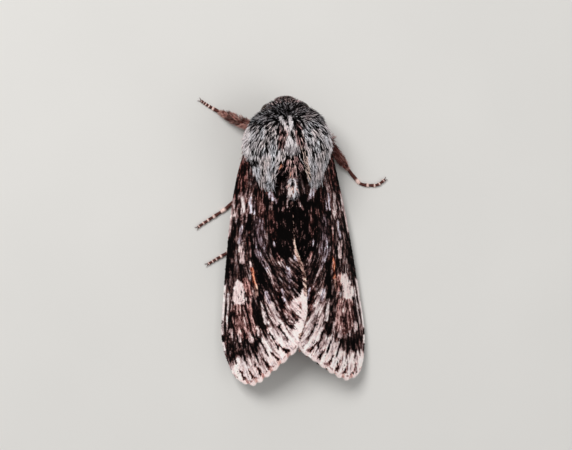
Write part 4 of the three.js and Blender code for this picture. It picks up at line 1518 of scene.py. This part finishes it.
def give_thickness(piece, thickness):
    """Turns a sheet's faces up and thickens it downwards."""
    activate(piece)
    if sum(polygon.normal.z for polygon in piece.data.polygons) < 0:
        edit(bpy.ops.mesh.flip_normals)
    shell = piece.modifiers.new("Membrane", "SOLIDIFY")
    shell.thickness = thickness
    shell.offset = -1
    bpy.ops.object.modifier_apply(modifier="Membrane")
    bpy.ops.object.shade_smooth_by_angle(angle=math.radians(50))


def lap_depth(side, out, y):
    """How far the right forewing dips to pass under the left one."""
    if side < 0:
        return 0 * out
    return 0.32 * smooth(inner_margin(side, y) + 0.1 - out, -0.35, 0.25)


def make_membrane(piece, kind, slot, side_name, points, colours, thickness):
    """Lays a sheet at its points, paints it and gives it its thickness."""
    move_vertices(piece.data, to_frame(points))
    paint(piece.data, colours)
    give_thickness(piece, thickness)
    finish(piece, f"{kind}_{side_name}", "skin", [f"{slot}_{side_name}"])


class MOTH_OT_wings(bpy.types.Operator):
    """Makes the membranes of forewings and hindwings"""

    bl_idname = "moth.wings"
    bl_label = "Wings"

    def execute(self, context):
        thickness = context.scene.moth_wings.membrane
        for name, side in SIDES.items():
            wing, across, along = wing_grid(FOREWING_CELLS)
            out, y = forewing_plan(side, across, along, TUCK[name], FRINGE + 0.05)
            depth = SCALE_DEPTH - vein_relief(across, along) + lap_depth(side, out, y)
            points = under_roof(side, out, y, depth)
            colours = forewing_colour(side, out, y, noise(out / 0.1, y / 0.2, 51)) * 0.8
            make_membrane(wing, "wing", "forewing", name, points, colours, thickness)
            back, across, along = wing_grid(HINDWING_CELLS)
            out, y = hindwing_plan(across, along)
            points = under_roof(side, out, y, HINDWING_DEPTH)
            colours = plain_wing_colour(out, y, noise(out / 0.1, y / 0.2, 52))
            make_membrane(back, "backwing", "hindwing", name, points, colours, thickness)
        return {"FINISHED"}


def scale_rows(plan, row_step, scale_step, rng):
    """(across, along) of scales set in staggered rows on a wing whose plan gives (distance out, y)."""
    found = []
    probe = np.linspace(0, 1, ROW_PROBES)
    for row in range(int(ROW_RUN / row_step)):
        along = np.full(ROW_PROBES, (row + 0.5) * row_step / ROW_RUN)
        out, y = plan(probe, along)
        height = roof(out, y)
        run = np.concatenate([[0], np.cumsum(np.hypot(np.diff(out), np.diff(height)))])
        count = max(4, int(run[-1] / scale_step))
        places = (np.arange(count) + 0.5 * (row % 2) + 0.3 * rng.random(count)) / count * run[-1]
        across = np.interp(places, run, probe)
        jitter = rng.normal(0, 0.25, count) * row_step / ROW_RUN
        found.append(np.stack([across, along[0] + jitter], axis=-1))
    return np.clip(np.concatenate(found), 0.001, 0.999)


def wing_scales(name, side, plan, depth, facing, sizes, colour_of, rng):
    """Scales over a wing's face at a depth under the roof. facing is 1 for the upper face and -1 for the
    lower one."""
    length, width, row_step, scale_step = sizes
    across, along = scale_rows(plan, row_step, scale_step, rng).T
    out, y = plan(across, along)
    if facing > 0:
        shown = (y <= BARE_FROM) | (out >= BARE_OUT)
        across, along, out, y = across[shown], along[shown], out[shown], y[shown]
    if plan is not hindwing_plan:
        depth = depth + lap_depth(side, out, y)
    roots = under_roof(side, out, y, depth)
    normals = mirrored(roof_normal(out, y), side) * facing
    x_way, y_way = vein_heading(out, y)
    flow = rows(side * x_way, y_way, 0) + rng.normal(0, 0.1, roots.shape)
    heading = risen(unit(flow), normals, 0.02)
    grain, size = rng.random((2, len(out)))
    size = 0.8 + 0.4 * size
    colours, uv = colour_of(out, y, grain), chart(across, along)
    return scales(name, roots, heading, normals, length * size, width * size, colours, uv)


class MOTH_OT_wing_scales(bpy.types.Operator):
    """Tiles the wings with scales"""

    bl_idname = "moth.wing_scales"
    bl_label = "Wing scales"

    def execute(self, context):
        settings = context.scene.moth_wings
        fine = [settings.scale_length, settings.scale_width, settings.row_step, settings.scale_step]
        fine = np.array(fine) / MM
        coarse = fine * [2, 2, 2.1, 2.1]
        thickness = settings.membrane / MM
        back_depth = HINDWING_DEPTH + thickness
        for name, side in SIDES.items():
            rng = np.random.default_rng(80 + side)
            plan = partial(forewing_plan, side, tuck=0.5 * TUCK[name], inset=FRINGE)
            for face, slot, *row in (
                ("upper", "forewing", plan, SCALE_DEPTH - 0.02, 1, fine, partial(forewing_colour, side)),
                ("under", "hindwing", plan, SCALE_DEPTH + thickness, -1, coarse, plain_wing_colour),
                ("back", "hindwing", hindwing_plan, back_depth, -1, coarse, plain_wing_colour),
            ):
                piece = wing_scales(f"scales_{face}_{name}", side, *row, rng)
                finish(piece, piece.name, "scales")
        return {"FINISHED"}


class MOTH_OT_fringes(bpy.types.Operator):
    """Hangs the scalloped outer fringes and a soft one where the left wing laps over the ridge"""

    bl_idname = "moth.fringes"
    bl_label = "Fringes"

    def execute(self, context):
        for name, side in SIDES.items():
            self.outer(name, side, np.random.default_rng(90 + side))
        self.inner(np.random.default_rng(95))
        return {"FINISHED"}

    def hang(self, name, roots, heading, normals, length, bend, shade, tip, uv):
        # shade darkens each root: partly the hair's own colour, partly painted shade under the wing's
        # scales.
        piece = hairs(name, roots, heading, normals, length, FRINGE_WIDTH, bend, tip * shade, tip, uv)
        finish(piece, piece.name, "scales")

    def outer(self, name, side, rng):
        across, layer, grain, second = rng.random((4, FRINGE_HAIRS))
        out, y = forewing_plan(side, across, 1, 0, FRINGE + 0.12 - 0.1 * layer)
        depth = SCALE_DEPTH - 0.03 + 0.14 * layer
        roots = under_roof(side, out, y, depth)
        ahead_out, ahead_y = forewing_plan(side, across, 1)
        ahead = under_roof(side, ahead_out - 0.12 * (1 - across), ahead_y - 0.05, depth)
        normals = mirrored(roof_normal(out, y), side)
        length = np.linalg.norm(ahead - roots, axis=1) * (0.85 + 0.25 * grain)
        heading = risen(unit(ahead - roots + rng.normal(0, 0.04, roots.shape)), normals, 0.05)
        cell = across * SCALLOPS
        notch = 1 - smooth(np.abs(cell - np.round(cell)), 0.1, 0.24)
        notch = notch * (across > 0.5 / SCALLOPS) * (across < 1 - 0.5 / SCALLOPS)
        tone = mix(0.84, 0.3, notch * smooth(second, 0.15, 0.5))
        tip = toned(grained(tone, 0.3 + 0.7 * grain), SCALE_COLOURS, mix(PINK, REDDISH, notch[:, None]))
        uv = np.stack([0.02 + 0.95 * across, 0.5 + 0.4 * layer], axis=-1)
        self.hang(f"fringe_{name}", roots, heading, normals, length, 0.05, 0.75, tip, uv)

    def inner(self, rng):
        side = SIDES["left"]
        y = rng.uniform(*INNER_FRINGE_RUN, INNER_FRINGE_HAIRS)
        back, grain, _ = rng.random((3, INNER_FRINGE_HAIRS))
        out = inner_margin(side, y) + 0.12 * back
        roots = under_roof(side, out, y, SCALE_DEPTH - 0.03)
        normals = mirrored(roof_normal(out, y), side)
        flow = rows(0.5, -1, 0 * y) + rng.normal(0, 0.12, roots.shape)
        heading = risen(unit(flow), normals, 0.08)
        tone = np.interp(y, [-8.2, -5.3, -4.9, -2.2, -1.7, 0.3], [0.9, 0.9, 0.42, 0.38, 0.84, 0.84])
        tip = toned(grained(tone, grain), SCALE_COLOURS, TAN)
        uv = np.stack([0.02 + 0.1 * back, 0.02 + 0.95 * (y + 11.5) / 18.5], axis=-1)
        self.hang("inner_fringe", roots, heading, normals, 0.2 + 0.2 * grain, 0.2, 0.8, tip, uv)


# ---- Stage ----

LIGHTS = {  # place and size in millimetres, and power as a share of the key light's
    "key": ((-90, 110, 210), 110, 1.0),
    "fill": ((150, -60, 150), 160, 0.22),
}
CAMERA_AIM = (-0.27, 1.58, 1.5)  # in the moth's measure
CAMERA_LEAN, CAMERA_ROLL = math.radians(6), math.radians(2.8)  # off the upright, to the left, and about it
SENSOR_WIDTH = 36
FLOOR_SIZE, FLOOR_CLOUD_SCALE = 1.2, 60  # metres, and cells of its cloud to a metre


class MOTH_OT_stage(bpy.types.Operator):
    """Adds the pale floor, the soft lights and the camera above the moth's back"""

    bl_idname = "moth.stage"
    bl_label = "Stage"

    def execute(self, context):
        settings = context.scene.moth_stage
        self.floor(settings)
        self.lights(settings)
        self.camera(settings)
        context.scene.view_settings.view_transform = "Standard"
        return {"FINISHED"}

    def floor(self, settings):
        deselect()
        bpy.ops.mesh.primitive_plane_add(size=FLOOR_SIZE, location=(0, 0, 0))
        floor = bpy.context.object
        floor.name = "floor"
        kinds = {
            "shader": ("", {}, {"Roughness": 0.8, "Specular IOR Level": 0.2}),
            "place": ("TexCoord", {}, {}),
            "cloud": ("TexNoise", {}, {"Scale": FLOOR_CLOUD_SCALE}),
            "tones": ("ValToRGB", {}, {}),
        }
        wires = [
            ("place", "Object", "cloud", "Vector"),
            ("cloud", "Fac", "tones", "Fac"),
            ("tones", "Color", "shader", "Base Color"),
        ]
        material, nodes = node_material("floor", kinds, wires)
        base = setting_colour(settings.floor_colour)
        set_ramp(nodes["tones"], (0, base * 0.96), (1, base * 1.03))
        floor.data.materials.append(material)

    def lights(self, settings):
        target = Vector(to_frame((0, 0, 3)))
        for name, (place, size, power) in LIGHTS.items():
            data = bpy.data.lights.new(name, "AREA")
            data.energy = settings.key * power
            data.size = size * MM
            light = bpy.data.objects.new(name, data)
            light.location = to_frame(place)
            light.rotation_euler = (target - light.location).to_track_quat("-Z", "Y").to_euler()
            bpy.context.collection.objects.link(light)
        world = bpy.data.worlds.new("studio")
        world.use_nodes = True
        world.node_tree.nodes["Background"].inputs["Color"].default_value = (1, 1, 1, 1)
        world.node_tree.nodes["Background"].inputs["Strength"].default_value = settings.sky
        bpy.context.scene.world = world

    def camera(self, settings):
        data = bpy.data.cameras.new("camera")
        data.lens = settings.lens
        data.sensor_width = SENSOR_WIDTH
        data.clip_start = 0.01
        distance = settings.field / MM * settings.lens / SENSOR_WIDTH
        away = np.array([-math.sin(CAMERA_LEAN), 0, math.cos(CAMERA_LEAN)])
        back = Vector(away)
        right = Vector((math.sin(CAMERA_ROLL), math.cos(CAMERA_ROLL), 0)).cross(back).normalized()
        matrix = Matrix((right, back.cross(right), back)).transposed().to_4x4()
        matrix.translation = Vector(to_frame(np.array(CAMERA_AIM) + away * distance))
        camera = bpy.data.objects.new("camera", data)
        camera.matrix_world = matrix
        bpy.context.collection.objects.link(camera)
        bpy.context.scene.camera = camera


class MOTH_PT_panel(bpy.types.Panel):
    """Lists the steps that build the moth"""

    bl_idname = "MOTH_PT_panel"
    bl_label = "Resting moth"
    bl_space_type = "VIEW_3D"
    bl_region_type = "UI"
    bl_category = "Moth"

    def draw(self, context):
        for group, kind in SETTINGS.items():
            settings = getattr(context.scene, group)
            for setting in kind.__annotations__:
                self.layout.prop(settings, setting)
        for step in STEPS:
            self.layout.operator(step.bl_idname)


STEPS = [
    MOTH_OT_stage,
    MOTH_OT_skin,
    MOTH_OT_eyes,
    MOTH_OT_antennae,
    MOTH_OT_feet,
    MOTH_OT_wings,
    MOTH_OT_wing_scales,
    MOTH_OT_fringes,
    MOTH_OT_thorax_coat,
    MOTH_OT_body_coat,
]


def register():
    for kind in (*SETTINGS.values(), *STEPS, MOTH_PT_panel):
        bpy.utils.register_class(kind)
    for group, kind in SETTINGS.items():
        setattr(bpy.types.Scene, group, bpy.props.PointerProperty(type=kind))


def unregister():
    for group in SETTINGS:
        delattr(bpy.types.Scene, group)
    for kind in (MOTH_PT_panel, *reversed(STEPS), *reversed(SETTINGS.values())):
        bpy.utils.unregister_class(kind)


def main():
    register()
    for step in STEPS:
        group, name = step.bl_idname.split(".")
        getattr(getattr(bpy.ops, group), name)()
    deselect()


if __name__ == "__main__":
    main()
